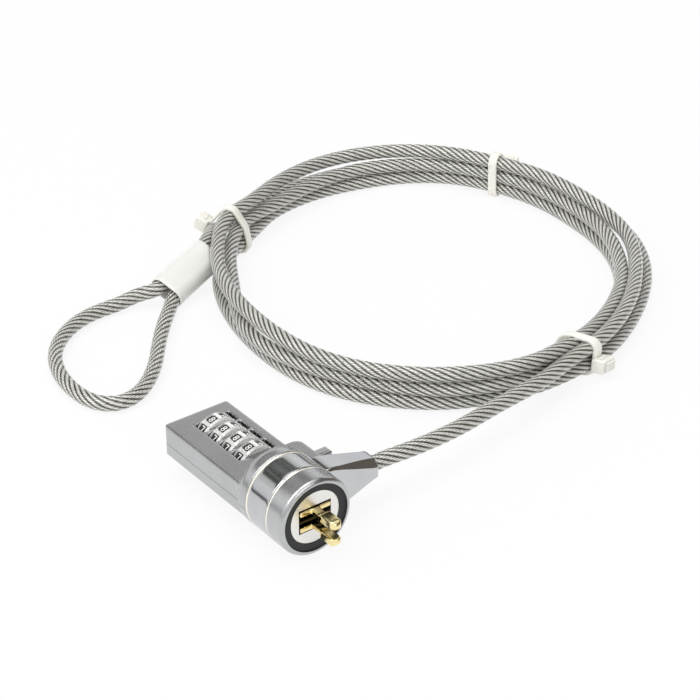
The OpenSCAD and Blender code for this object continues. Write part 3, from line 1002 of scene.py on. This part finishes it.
    def end_stations(self) -> list[Triple]:
        """The points from the coil through the crimp, round the eye and back into it.

        Returns:
            The points.
        """
        c = self.crimp
        inward = [c.at(c.length, 2.5), c.at(c.ferrule_start + c.ferrule_length, c.strand)]
        onward = [c.at(c.ferrule_start, c.strand), c.at(1.6, c.strand + 0.1), c.at(-1.0, 2.6, -0.1)]
        back = [c.at(-3.5, -4.0, 0.6), c.at(0.0, -2.6), c.at(c.ferrule_start, -c.strand)]
        return [*self.tail, *inward, *onward, *self.eye, *back, c.at(c.ferrule_start + 8.0, -c.strand)]

    def rope(self, name: str, route: np.ndarray, before: float, material: Material) -> Piece:
        """A laid rope along a route.

        Around the rope, the radius falls from the strand's crest to its groove as
        a cosine of the strand number. The columns turn to the right by one turn in
        each lay length, so they follow the strands. The map holds the distance
        along in millimetres and the strand number.

        Args:
            name: the piece's name.
            route: its centreline.
            before: the length of cable before this route.
            material: its finish.

        Returns:
            The object.
        """
        columns = ROPE_STRANDS * self.columns_per_strand
        along = unit(np.gradient(route, axis=0))
        side = unit(np.cross([0.0, 0.0, 1.0], along))
        up = np.cross(along, side)
        s = before + run_along(route)
        j = np.arange(columns)
        angle = TURN * (j[None, :] / columns + s[:, None] / ROPE_LAY)
        reach = self.radius - self.ridge * (1 - np.cos(TURN * j / self.columns_per_strand)) / 2
        ring = np.cos(angle)[..., None] * side[:, None] + np.sin(angle)[..., None] * up[:, None]
        rings = route[:, None] + reach[None, :, None] * ring
        tips = np.stack([route[0] - self.end_bulge * along[0], route[-1] + self.end_bulge * along[-1]])
        piece = make_object(name, Shell.capped(rings, tips), material)
        self._map(piece, columns, s)
        return piece

    def _map(self, piece: Piece, columns: int, s: np.ndarray) -> None:
        """Gives the rope its map, without a jump where the last column meets the first.

        Args:
            piece: the rope, with its four-cornered faces first.
            columns: the points in a ring.
            s: the distance along at each ring.
        """
        mesh = piece.data
        corner = np.empty(len(mesh.loops), np.int64)
        mesh.loops.foreach_get("vertex_index", corner)
        row, column = corner // columns, (corner % columns).astype(float)
        side_loops = 4 * (len(s) - 1) * columns
        quads = column[:side_loops].reshape(-1, 4)
        seam = (quads.max(axis=1) - quads.min(axis=1)) > columns / 2
        quads[seam] = np.where(quads[seam] < columns / 2, quads[seam] + columns, quads[seam])
        column[:side_loops] = quads.ravel()
        u = s[np.clip(row, 0, len(s) - 1)]
        uv = np.stack([u, column / self.columns_per_strand], axis=1)
        mesh.uv_layers.new(name=ROPE_MAP).data.foreach_set("uv", uv.ravel().astype(np.float32))

    def build(self, palette: Palette, fittings: list[Piece]) -> None:
        """Args:
            palette: the finishes.
            fittings: not used.
        """
        finish = palette.finish[Slot.CABLE]
        lead_length = float(run_along(self.lead_route)[-1])
        lead = self.rope("lead_rope", self.lead_route, 0.0, finish)
        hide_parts("cable_lead")
        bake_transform(lead)
        rope = self.rope("coiled_rope", self.rope_route, lead_length, finish)
        declare(rope, "head", Slot.CABLE, "cable_coil", "cable_tail", "cable_eye")
        LOG.info("lead %.1f mm, rope %.1f mm", lead_length, run_along(self.rope_route)[-1])

    def crossing(self, degrees: float) -> np.ndarray:
        """Where the coil's turns pass an angle.

        A turn passes where the number of whole turns past the angle changes within
        the coil's width. The place there is between the two samples around it.

        Args:
            degrees: the angle about the coil's centre.

        Returns:
            One row a turn: its distance from the centre and its height.
        """
        flat = self.whole[:, :2] - np.array(self.centre)
        reach = np.linalg.norm(flat, axis=1)
        turned = np.unwrap(np.arctan2(flat[:, 1], flat[:, 0]))
        turns = (np.degrees(turned) - degrees) / 360
        whole_turns = np.floor(turns)
        near = np.abs(reach - self.mean_radius) < self.coil_half_width
        passes = (whole_turns[1:] != whole_turns[:-1]) & (np.abs(np.diff(turns)) < 0.1)
        k = np.nonzero(passes & near[1:])[0]
        goal = np.maximum(whole_turns[k], whole_turns[k + 1])
        share = np.abs((goal - turns[k]) / (turns[k + 1] - turns[k]))
        place = np.stack([reach, self.whole[:, 2]], axis=1)
        return place[k] + share[:, None] * (place[k + 1] - place[k])


@dataclass
class CrimpCover:
    """The white sleeve over the crimp, open at both ends."""

    line: CrimpLine
    columns: int = 64
    rows: int = 14
    taper_from: float = 14.6
    taper_half: float = 1.9

    def profile(self) -> np.ndarray:
        """The wall's outline, along the outside, round a lip, back inside and round the other.

        Returns:
            Pairs of distance along and inset from the outside.
        """
        line, lip = self.line, self.line.wall / 2
        turn = np.radians([-60, -30, 0, 30, 60])
        ends = np.stack([line.length - lip + lip * np.cos(turn), lip + lip * np.sin(turn)], axis=1)
        starts = np.stack([lip - lip * np.cos(turn), lip - lip * np.sin(turn)], axis=1)
        stations = np.linspace(lip, line.length - lip, self.rows)
        outer = np.stack([stations, np.zeros_like(stations)], axis=1)
        inner = np.stack([stations[::-1], np.full_like(stations, line.wall)], axis=1)
        return np.concatenate([outer, ends, inner, starts])

    def build(self, palette: Palette) -> Piece:
        """An oval tube with a wall and rounded lips.

        The section is a stadium: two half circles joined by straight sides. Past
        the crimp the tube has shrunk on to its one strand: the half width loses a
        smooth step that the middle moves over by, so one side stays straight.

        Args:
            palette: the finishes.

        Returns:
            The object.
        """
        line, profile = self.line, self.profile()
        radius = line.height / 2
        straight = line.width / 2 - radius
        theta = (np.arange(self.columns) + 0.5) * TURN / self.columns
        share = np.clip((profile[:, :1] - self.taper_from) / (line.length - self.taper_from), 0, 1)
        inward = self.taper_half * share**2 * (3 - 2 * share)
        reach = radius - profile[:, 1]
        shift = inward + (straight - inward) * np.sign(np.cos(theta))[None, :]
        across = shift + reach[:, None] * np.cos(theta)[None, :]
        above = reach[:, None] * np.sin(theta)[None, :]
        rings = (
            np.array(line.start)
            + profile[:, 0][:, None, None] * line.along
            + across[..., None] * line.side
            + above[..., None] * line.rise
        )
        piece = make_object("crimp_cover", Shell.looped(rings), palette.finish[Slot.SLEEVE])
        declare(piece, "head", Slot.SLEEVE, "ferrule_sleeve")
        return piece


@dataclass
class CableTie:
    """A nylon tie drawn tight round the coil at one angle.

    Its plane holds the directions away from the coil's centre and up. The head sits
    where the strap faces head_at degrees above outward, slid on by some samples. Its
    blocks have a size, a distance out from the strap and one along it.
    """

    node: str
    degrees: float
    head_at: float
    slide: int = 0
    slant: float = 0.0
    width: float = 2.5
    thick: float = 0.95
    gap: float = 0.03
    directions: int = 720
    samples: int = 144
    section_points: int = 16
    flatness: Pair = (0.45, 0.25)
    lowest: float = 0.05
    blocks: tuple[tuple[Triple, float, float], ...] = (
        ((3.3, 4.3, 4.1), 1.55, 0.0),
        ((1.0, 3.3, 2.9), 3.2, 0.0),
        ((0.9, 2.5, 0.8), 1.55, 2.0),
    )

    def strap_line(self, strands: np.ndarray, radius: float) -> tuple[np.ndarray, np.ndarray]:
        """The middle line of the strap in its plane, and its outward directions.

        A tight strap touches, in each direction, the strand that lies farthest
        that way, so its point there is that strand's centre plus the cable's
        radius and half the strap. Between strands it runs straight.

        Args:
            strands: the centres of the strands it holds.
            radius: the cable's radius.

        Returns:
            Points and directions, evenly spaced round the closed line.
        """
        turn = np.linspace(0, TURN, self.directions + 1)
        out = np.stack([np.cos(turn), np.sin(turn)], axis=1)
        farthest = np.argmax(out @ strands.T, axis=1)
        line = strands[farthest] + (radius + self.gap + self.thick / 2) * out
        run = run_along(line)
        even = np.linspace(0, run[-1], self.samples + 1)[:-1]
        return resampled(line, run, even), unit(resampled(out, run, even))

    def placed(self, local: np.ndarray, centre: Pair) -> np.ndarray:
        """Points set at the tie's angle and slant.

        Args:
            local: points as outward, sideways and up.
            centre: the coil's centre.

        Returns:
            The points in place.
        """
        angle = math.radians(self.degrees)
        out = np.array([math.cos(angle), math.sin(angle), 0.0])
        side = np.array([-math.sin(angle), math.cos(angle), 0.0])
        hub = np.array([*centre, 0.0])
        sideways = local[:, 1:2] + self.slant * (local[:, :1] - local[:, 0].max())
        return hub + local[:, :1] * out + sideways * side + local[:, 2:] * np.array([0.0, 0.0, 1.0])

    def strap(self, points: np.ndarray, out: np.ndarray) -> Shell:
        """The strap: a rounded flat section carried along its line.

        The section is a circle whose cosine and sine are raised to small powers,
        times half the thickness and half the width.

        Args:
            points: the middle line.
            out: its outward directions.

        Returns:
            The closed surface.
        """
        k = np.arange(self.section_points) * TURN / self.section_points
        high = squared(np.cos(k), self.flatness[0]) * self.thick / 2
        wide = squared(np.sin(k), self.flatness[1]) * self.width / 2
        plane = points[:, None] + high[None, :, None] * out[:, None]
        level = np.broadcast_to(wide[None, :], plane.shape[:2])
        return Shell.looped(np.stack([plane[..., 0], level, plane[..., 1]], axis=-1))

    def head(self, points: np.ndarray, out: np.ndarray) -> Shell:
        """The locking head, its pawl window and the cut end of the strap.

        Args:
            points: the strap's middle line.
            out: its outward directions.

        Returns:
            The three blocks as one surface.
        """
        want = math.radians(self.head_at)
        k = int(np.argmax(out @ np.array([math.cos(want), math.sin(want)]))) + self.slide
        outward = np.array([out[k, 0], 0.0, out[k, 1]])
        tangent = np.array([-outward[2], 0.0, outward[0]])
        middle = np.array([points[k, 0], 0.0, points[k, 1]])
        axes = np.stack([outward, np.array([0.0, 1.0, 0.0]), tangent])
        parts = []
        for size, off, on in self.blocks:
            block = rounded_box(size)
            block.points = middle + block.points @ axes + off * outward + on * tangent
            parts.append(block)
        return Shell.joined(parts).facing_out()

    def build(self, palette: Palette, cable: SecurityCable) -> Piece:
        """Makes the tie round the strands that pass its angle.

        Args:
            palette: the finishes.
            cable: the cable that it holds.

        Returns:
            The object.
        """
        strands = cable.crossing(self.degrees)
        LOG.info("%s holds %d strands", self.node, len(strands))
        points, out = self.strap_line(strands, cable.radius)
        local = Shell.joined([self.strap(points, out), self.head(points, out)])
        shell = Shell(self.placed(local.points, cable.centre), local.faces).facing_out()
        shell.points[:, 2] = np.maximum(shell.points[:, 2], self.lowest)
        piece = make_object(self.node + "_band", shell, palette.finish[Slot.NYLON])
        declare(piece, "head", Slot.NYLON, self.node)
        return piece


# ---- Lock head ----


@dataclass
class NumberDials:
    """Black plates and white numerals in the pads of the four dials."""

    count: int = 4
    pads: int = 10
    axis_x: float = -4.8
    axis_z: float = 9.45
    first_y: float = 7.0
    pitch: float = 5.0
    floor_radius: float = 5.2
    first_pad: float = 22.5
    pad_size: float = 2.38
    pad_power: float = 0.3
    pad_corners: int = 28
    paint_low: float = -0.02
    paint_high: float = 0.04
    shown_pad: int = 8
    shown: int = 7
    numeral_height: float = 1.75
    numeral_low: float = 0.02
    numeral_high: float = 0.075
    curve_steps: int = 4

    def pad_frame(self, pad: int) -> np.ndarray:
        """The directions of a pad, for a numeral read from outside.

        Args:
            pad: the pad, from 0.

        Returns:
            Rows that point across, up and out of it.
        """
        a = math.radians(self.first_pad + pad * 360 / self.pads)
        across = [0.0, -1.0, 0.0]
        up = [math.cos(a), 0.0, -math.sin(a)]
        out = [math.sin(a), 0.0, math.cos(a)]
        return np.array([across, up, out])

    def placed(self, dial: int, pad: int, flat: Shell) -> Shell:
        """A surface set on one pad of a dial.

        Args:
            dial: the dial, from 0.
            pad: the pad, from 0.
            flat: the surface, as across, up and above the pad's floor.

        Returns:
            The surface in place.
        """
        hub = np.array([self.axis_x, self.first_y + dial * self.pitch, self.axis_z])
        lifted = flat.points + np.array([0.0, 0.0, self.floor_radius])
        return Shell(hub + lifted @ self.pad_frame(pad), flat.faces)

    def plate(self) -> Shell:
        """A thin plate for a black pad: a square whose corners a small power rounds.

        Returns:
            The closed surface.
        """
        n = self.pad_corners
        k = (np.arange(n) + 0.5) * TURN / n
        x = squared(np.cos(k), self.pad_power) * self.pad_size / 2
        y = squared(np.sin(k), self.pad_power) * self.pad_size / 2
        low = np.stack([x, y, np.full_like(x, self.paint_low)], axis=1)
        high = np.stack([x, y, np.full_like(x, self.paint_high)], axis=1)
        sides = grid_faces(2, n, False, True).tolist()
        ends = [list(range(n))[::-1], list(range(n, 2 * n))]
        return Shell(np.concatenate([low, high]), sides + ends).facing_out()

    def numeral(self, value: int) -> Shell:
        """A plain numeral as a thin solid, centred on its pad.

        Args:
            value: the numeral.

        Returns:
            The closed surface.
        """
        curve = bpy.data.curves.new("numeral", "FONT")
        curve.body = str(value)
        curve.extrude = self.numeral_low
        curve.resolution_u = self.curve_steps
        helper = new_object("numeral", curve)
        mesh = bpy.data.meshes.new_from_object(helper)
        points = np.empty(len(mesh.vertices) * 3)
        mesh.vertices.foreach_get("co", points)
        points = points.reshape(-1, 3)
        faces = [list(polygon.vertices) for polygon in mesh.polygons]
        bpy.data.objects.remove(helper)
        bpy.data.meshes.remove(mesh)
        low, high = points.min(axis=0), points.max(axis=0)
        points -= (low + high) / 2
        points[:, :2] *= self.numeral_height / (high[1] - low[1])
        points[:, 2] = np.where(points[:, 2] > 0, self.numeral_high, self.numeral_low)
        return Shell(points, faces)

    def build(self, palette: Palette) -> None:
        """Makes the paint and the numerals of every dial.

        Args:
            palette: the finishes.
        """
        plate = self.plate()
        numerals = [self.numeral(value) for value in range(self.pads)]
        for dial in range(self.count):
            pad_plates, marks = [], []
            for pad in range(self.pads):
                value = (self.shown + pad - self.shown_pad) % self.pads
                pad_plates.append(self.placed(dial, pad, plate))
                marks.append(self.placed(dial, pad, numerals[value]))
            body = f"dial_{dial + 1}"
            rows = (
                ("_paint", pad_plates, palette.pad_paint, Slot.RUBBER),
                ("_numerals", marks, palette.numeral_paint, Slot.NYLON),
            )
            for ending, parts, material, slot in rows:
                piece = make_object(body + ending, Shell.joined(parts), material, smooth=False)
                declare(piece, body, slot)


@dataclass
class LockHead:
    """The solids: each dressed in its finish, and the springs given meshes of their own."""

    finishes: tuple[tuple[Slot, tuple[str, ...]], ...] = (
        (Slot.SATIN, ("upper_shell", "lower_shell", "front_ring", "face_disc")),
        (Slot.BRIGHT, ("front_washer", "rear_washer", "swivel_collar", "push_button")),
        (Slot.BRIGHT, ("dial_1", "dial_2", "dial_3", "dial_4")),
        (Slot.STEEL, ("shell_pins", "barrel_core", "claw_pins", "cable_stop")),
        (Slot.STEEL, ("button_slider", "reset_screw")),
        (Slot.SPRING, ("claw_spring", "button_spring", "spindle_spring", "detent_spring")),
        (Slot.BRASS, ("claw_upper", "claw_lower", "spindle")),
        (Slot.BRASS, ("code_sleeve_1", "code_sleeve_2", "code_sleeve_3", "code_sleeve_4")),
        (Slot.RUBBER, ("rubber_ring",)),
        (Slot.FERRULE, ("ferrule",)),
        (Slot.CABLE, ("cable_lead", "cable_coil", "cable_tail", "cable_eye")),
        (Slot.SLEEVE, ("ferrule_sleeve",)),
        (Slot.NYLON, ("tie_left", "tie_back", "tie_right")),
    )
    springs: tuple[tuple[str, Triple, Triple, float], ...] = (
        ("button_spring", (1.0, 0.0, 0.0), (-0.01375, 0.0, 0.01), 0.635),
        ("claw_spring", (0.0, 0.0, 1.0), (-0.0065, 0.0, 0.01), 0.3),
    )

    def dress(self, nodes: dict[str, Piece], palette: Palette) -> None:
        """Gives each solid its material.

        Args:
            nodes: the solids by name.
            palette: the finishes.
        """
        special = {"face_disc": palette.face, **{f"dial_{k}": palette.dial_chrome for k in range(1, 5)}}
        for slot, names in self.finishes:
            for name in names:
                mesh = nodes[name].data
                mesh.materials.clear()
                mesh.materials.append(special.get(name, palette.finish[slot]))
        LOG.info("dressed %d solids", sum(len(names) for _, names in self.finishes))

    def compress(self, nodes: dict[str, Piece]) -> None:
        """Gives the springs behind the button and between the claws meshes of their own."""
        for name, axis, fixed, keep in self.springs:
            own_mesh(nodes[name])


@dataclass
class SwivelCollar:
    """The turning collar with its cable arm, and the polished beads beside it.

    The arm's stations give a place along X, half a height and a chamfer. Its nose's
    rows give a place along X, how round the section is there and its size.
    """

    hub: Triple = (-6.5, -19.8, 10.0)
    front: float = 5.7
    back: float = 12.8
    bore: float = 8.3
    radius: float = 10.0
    edge: float = 0.3
    front_bead: Pair = (5.07, 5.68)
    rear_bead: Pair = (12.82, 13.43)
    bead_radius: float = 9.98
    bead_edge: float = 0.28
    arm_y: float = 9.25
    half_width: float = 3.55
    corner: float = 0.35
    blend_radius: float = 2.5
    stations: tuple[Triple, ...] = (
        (4.0, 6.35, 0.3), (9.4, 6.3, 0.35), (12.0, 5.75, 0.6), (15.0, 5.0, 1.0),
        (18.2, 4.2, 1.35), (21.0, 3.45, 1.6), (22.2, 3.15, 1.6),
    )
    nose: tuple[Triple, ...] = (
        (22.6, 0.1, 0.97), (22.85, 0.3, 0.92), (22.97, 0.6, 0.86),
        (23.0, 1.0, 2.45), (22.9, 1.0, 2.15), (22.3, 1.0, 2.05),
    )

    def section(self, half_height: float, chamfer: float) -> np.ndarray:
        """The arm's section: an upright block with chamfered corners.

        Args:
            half_height: half its height.
            chamfer: the width of the chamfers.

        Returns:
            The outline.
        """
        w, h, c = self.half_width - self.corner, half_height - self.corner, chamfer
        corners = [
            (w, c - h), (w, h - c), (w - c, h), (c - w, h),
            (-w, h - c), (-w, c - h), (c - w, -h), (w - c, -h),
        ]
        return rounded_outline(np.array(corners), self.corner)

    def arm(self) -> Shell:
        """The arm: sections along X, then a nose that closes round the cable.

        Each section of the nose is a mix of the last section, made smaller by the
        row's size, and a circle. Where the mix is all circle, the size is its radius.

        Returns:
            The closed surface.
        """
        rings = [(x, self.section(height, chamfer)) for x, height, chamfer in self.stations]
        last = rings[-1][1]
        for x, share, size in self.nose:
            circle = unit(last) * (size if share == 1.0 else self.blend_radius)
            rings.append((x, last * size * (1 - share) + circle * share))
        tubes = np.stack([np.column_stack([np.full(len(last), x), ring]) for x, ring in rings])
        tips = np.array([[rings[0][0], 0.0, 0.0], [rings[-1][0], 0.0, 0.0]])
        shift = np.array([0.0, self.arm_y, 0.0])
        return Shell.capped(tubes + shift, tips + shift)

    def build(self, palette: Palette) -> None:
        """Makes the collar and the beads.

        Args:
            palette: the finishes.
        """
        ring = turned_ring(self.front, self.back, self.bore, self.radius, self.edge)
        front_bead, rear_bead = (
            turned_ring(*span, self.bore, self.bead_radius, self.bead_edge)
            for span in (self.front_bead, self.rear_bead)
        )
        collar = Shell.joined([ring, self.arm()])
        chrome, bead = palette.finish[Slot.BRIGHT], palette.bead
        rows = (
            ("collar_and_arm", collar, "collar", "swivel_collar", chrome, Slot.SATIN),
            ("front_bead", front_bead, "head", "front_washer", bead, Slot.BRIGHT),
            ("rear_bead", rear_bead, "head", "rear_washer", bead, Slot.BRIGHT),
        )
        for name, shell, body, node, material, slot in rows:
            piece = make_object(name, Shell(shell.points + np.array(self.hub), shell.faces), material)
            declare(piece, body, slot, node)


@dataclass
class PolishedPieces:
    """Castings polished until their edges are round: shells, claws and button.

    Each row names a solid, its body, its slot, the size of the even mesh in metres
    and how often that is smoothed.
    """

    rows: tuple[tuple[str, str, Slot, float, int], ...] = (
        ("upper_shell", "head", Slot.SATIN, 0.00016, 5),
        ("lower_shell", "head", Slot.SATIN, 0.00016, 5),
        ("claw_upper", "claw_upper", Slot.BRASS, 0.00009, 80),
        ("claw_lower", "claw_lower", Slot.BRASS, 0.00009, 80),
        ("push_button", "button", Slot.BRIGHT, 0.00009, 14),
    )

    def build(self, palette: Palette, solids: dict[str, Piece]) -> None:
        """Makes each piece from its solid.

        Args:
            palette: the finishes.
            solids: the solids by name.
        """
        for node, body, slot, voxel, passes in self.rows:
            piece = softened(solids[node], node + "_polished", voxel, passes)
            piece.data.materials.append(palette.finish[slot])
            declare(piece, body, slot, node)


# ---- Studio ----


def turned_to(direction: Vector) -> object:
    """The rotation of a lamp or camera that looks in a direction, level from side to side."""
    return direction.to_track_quat("-Z", "Y").to_euler()


@dataclass
class Softbox:
    """A rectangular lamp that points at a target."""

    name: str
    place: Triple
    size: Pair
    power: float
    target: Triple = (0.06, 0.05, 0.0)

    def build(self) -> None:
        """Places the lamp."""
        lamp = bpy.data.lights.new(self.name, "AREA")
        lamp.shape = "RECTANGLE"
        lamp.size, lamp.size_y = self.size
        lamp.energy = self.power
        holder = new_object(self.name, lamp)
        holder.location = self.place
        holder.rotation_euler = turned_to(Vector(self.target) - Vector(self.place))


@dataclass
class Studio:
    """Camera, floor, surroundings and lamps."""

    camera_place: Triple = (-0.259335, -0.365018, 0.313415)
    camera_aim: Triple = (0.51783856, 0.68063917, -0.51824082)
    lens: float = 119.06
    sensor: float = 36.0
    nearest: float = 0.01
    floor_half: float = 6.0
    floor_points: int = 13
    floor_height: float = -0.15
    floor_shadow: float = 0.12
    lamps: tuple[Softbox, ...] = (
        Softbox("key", (-0.75, 0.1, 1.0), (1.1, 0.8), 7.0),
        Softbox("fill", (0.1, -1.1, 0.75), (0.9, 0.6), 3.5),
        Softbox("top", (0.1, 0.1, 1.4), (0.9, 0.9), 5.0),
    )
    bands: tuple[tuple[float, Triple], ...] = (
        (0.0, (0.30, 0.20, 0.10)), (0.03, (0.10, 0.09, 0.08)), (0.09, (0.14, 0.15, 0.18)),
        (0.15, (0.92, 0.93, 0.95)), (0.29, (0.95, 0.96, 0.98)), (0.36, (1.0, 1.0, 1.0)),
        (0.46, (0.96, 0.96, 0.95)), (0.49, (0.76, 0.76, 0.74)), (0.575, (0.84, 0.84, 0.82)),
        (0.60, (0.08, 0.085, 0.07)), (0.665, (0.05, 0.055, 0.045)), (0.68, (0.45, 0.45, 0.43)),
        (0.695, (0.05, 0.055, 0.045)), (0.745, (0.07, 0.075, 0.065)), (0.77, (0.80, 0.80, 0.80)),
        (1.0, (0.80, 0.80, 0.80)),
    )

    def camera(self) -> None:
        """Places the camera."""
        data = bpy.data.cameras.new("camera")
        data.lens = self.lens
        data.sensor_width = self.sensor
        data.clip_start = self.nearest
        data.dof.use_dof = False
        camera = new_object("camera", data)
        camera.location = self.camera_place
        camera.rotation_euler = turned_to(Vector(self.camera_aim))
        bpy.context.scene.camera = camera

    def floor(self) -> None:
        """A pale floor that reads as white to the camera and keeps a faint shadow."""
        material = bpy.data.materials.new("floor")
        material.use_nodes = True
        g = Graph(material.node_tree)
        material.node_tree.nodes.clear()
        path = g.add("ShaderNodeLightPath").outputs
        seen = g.math("MAXIMUM", path["Is Camera Ray"], path["Is Glossy Ray"])
        seen = g.math("MAXIMUM", seen, path["Is Transmission Ray"])
        plain = g.add("ShaderNodeBsdfDiffuse", {"Color": (0.82, 0.82, 0.82, 1.0)})
        glow = g.add("ShaderNodeEmission", {"Color": WHITE})
        mixed = g.mix_shaders(g.times(seen, 1 - self.floor_shadow), plain, glow)
        g.add("ShaderNodeOutputMaterial", {"Surface": mixed})
        n = self.floor_points
        run = np.linspace(-self.floor_half, self.floor_half, n) / MM
        x, y = np.meshgrid(run, run, indexing="ij")
        points = np.stack([x, y, np.full_like(x, self.floor_height)], axis=-1).reshape(-1, 3)
        faces = grid_faces(n, n, False, False)[:, ::-1].tolist()
        make_object("floor", Shell(points, faces), material, smooth=False)

    def world(self) -> None:
        """Surroundings: white to the camera, a banded grey room to everything else.

        The room's colour follows the height of the direction looked in, with a
        slow change around the horizon and a dark flag on the right in front.
        """
        world = bpy.data.worlds.new("room")
        bpy.context.scene.world = world
        world.use_nodes = True
        g = Graph(world.node_tree)
        world.node_tree.nodes.clear()
        x, y, z = g.parts(g.add("ShaderNodeTexCoord").outputs["Generated"])
        sway = g.times(g.math("SINE", g.times(x, 5.0)), 0.012)
        ramp = g.add("ShaderNodeValToRGB", {0: g.plus(z, sway)})
        elements = ramp.color_ramp.elements
        while len(elements) < len(self.bands):
            elements.new(0.5)
        for element, (spot, colour) in zip(elements, self.bands):
            element.position = spot
            element.color = rgb(colour)
        flag = g.math("SUBTRACT", g.times(x, 0.8), g.times(y, 0.6))
        shaded = g.mix(g.spread(flag, 0.0, 0.9, 0.62, 0.74), ramp.outputs[0], (0.09, 0.065, 0.04, 1.0))
        room = g.add("ShaderNodeBackground", {"Color": shaded})
        white = g.add("ShaderNodeBackground", {"Color": WHITE})
        seen = g.add("ShaderNodeLightPath").outputs["Is Camera Ray"]
        g.add("ShaderNodeOutputWorld", {"Surface": g.mix_shaders(seen, room, white)})

    def build(self) -> None:
        """Makes everything but the camera."""
        self.floor()
        self.world()
        for lamp in self.lamps:
            lamp.build()


# ---- Scene ----


def corners(box: tuple) -> list[list[float]]:
    """A box's two corners as plain lists."""
    return [[float(v) for v in corner] for corner in box]


def main() -> None:
    """Builds the lock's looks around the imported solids, the camera and the cable first."""
    logging.basicConfig(level=logging.INFO, format="%(name)s: %(message)s")
    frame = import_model()
    bpy.context.scene.view_settings.view_transform = "Standard"
    studio = Studio()
    studio.camera()
    palette = Palette()
    line = CrimpLine()
    cable = SecurityCable(line)
    cover = CrimpCover(line).build(palette)
    ties = [
        CableTie("tie_left", 122, 25).build(palette, cable),
        CableTie("tie_back", 29, 20).build(palette, cable),
        CableTie("tie_right", 277, -5, slide=4, slant=0.45).build(palette, cable),
    ]
    cable.build(palette, [cover, *ties, frame["nodes"]["ferrule"]])
    head = LockHead()
    head.dress(frame["nodes"], palette)
    head.compress(frame["nodes"])
    SwivelCollar().build(palette)
    PolishedPieces().build(palette, frame["nodes"])
    NumberDials().build(palette)
    studio.build()


if __name__ == "__main__":
    main()
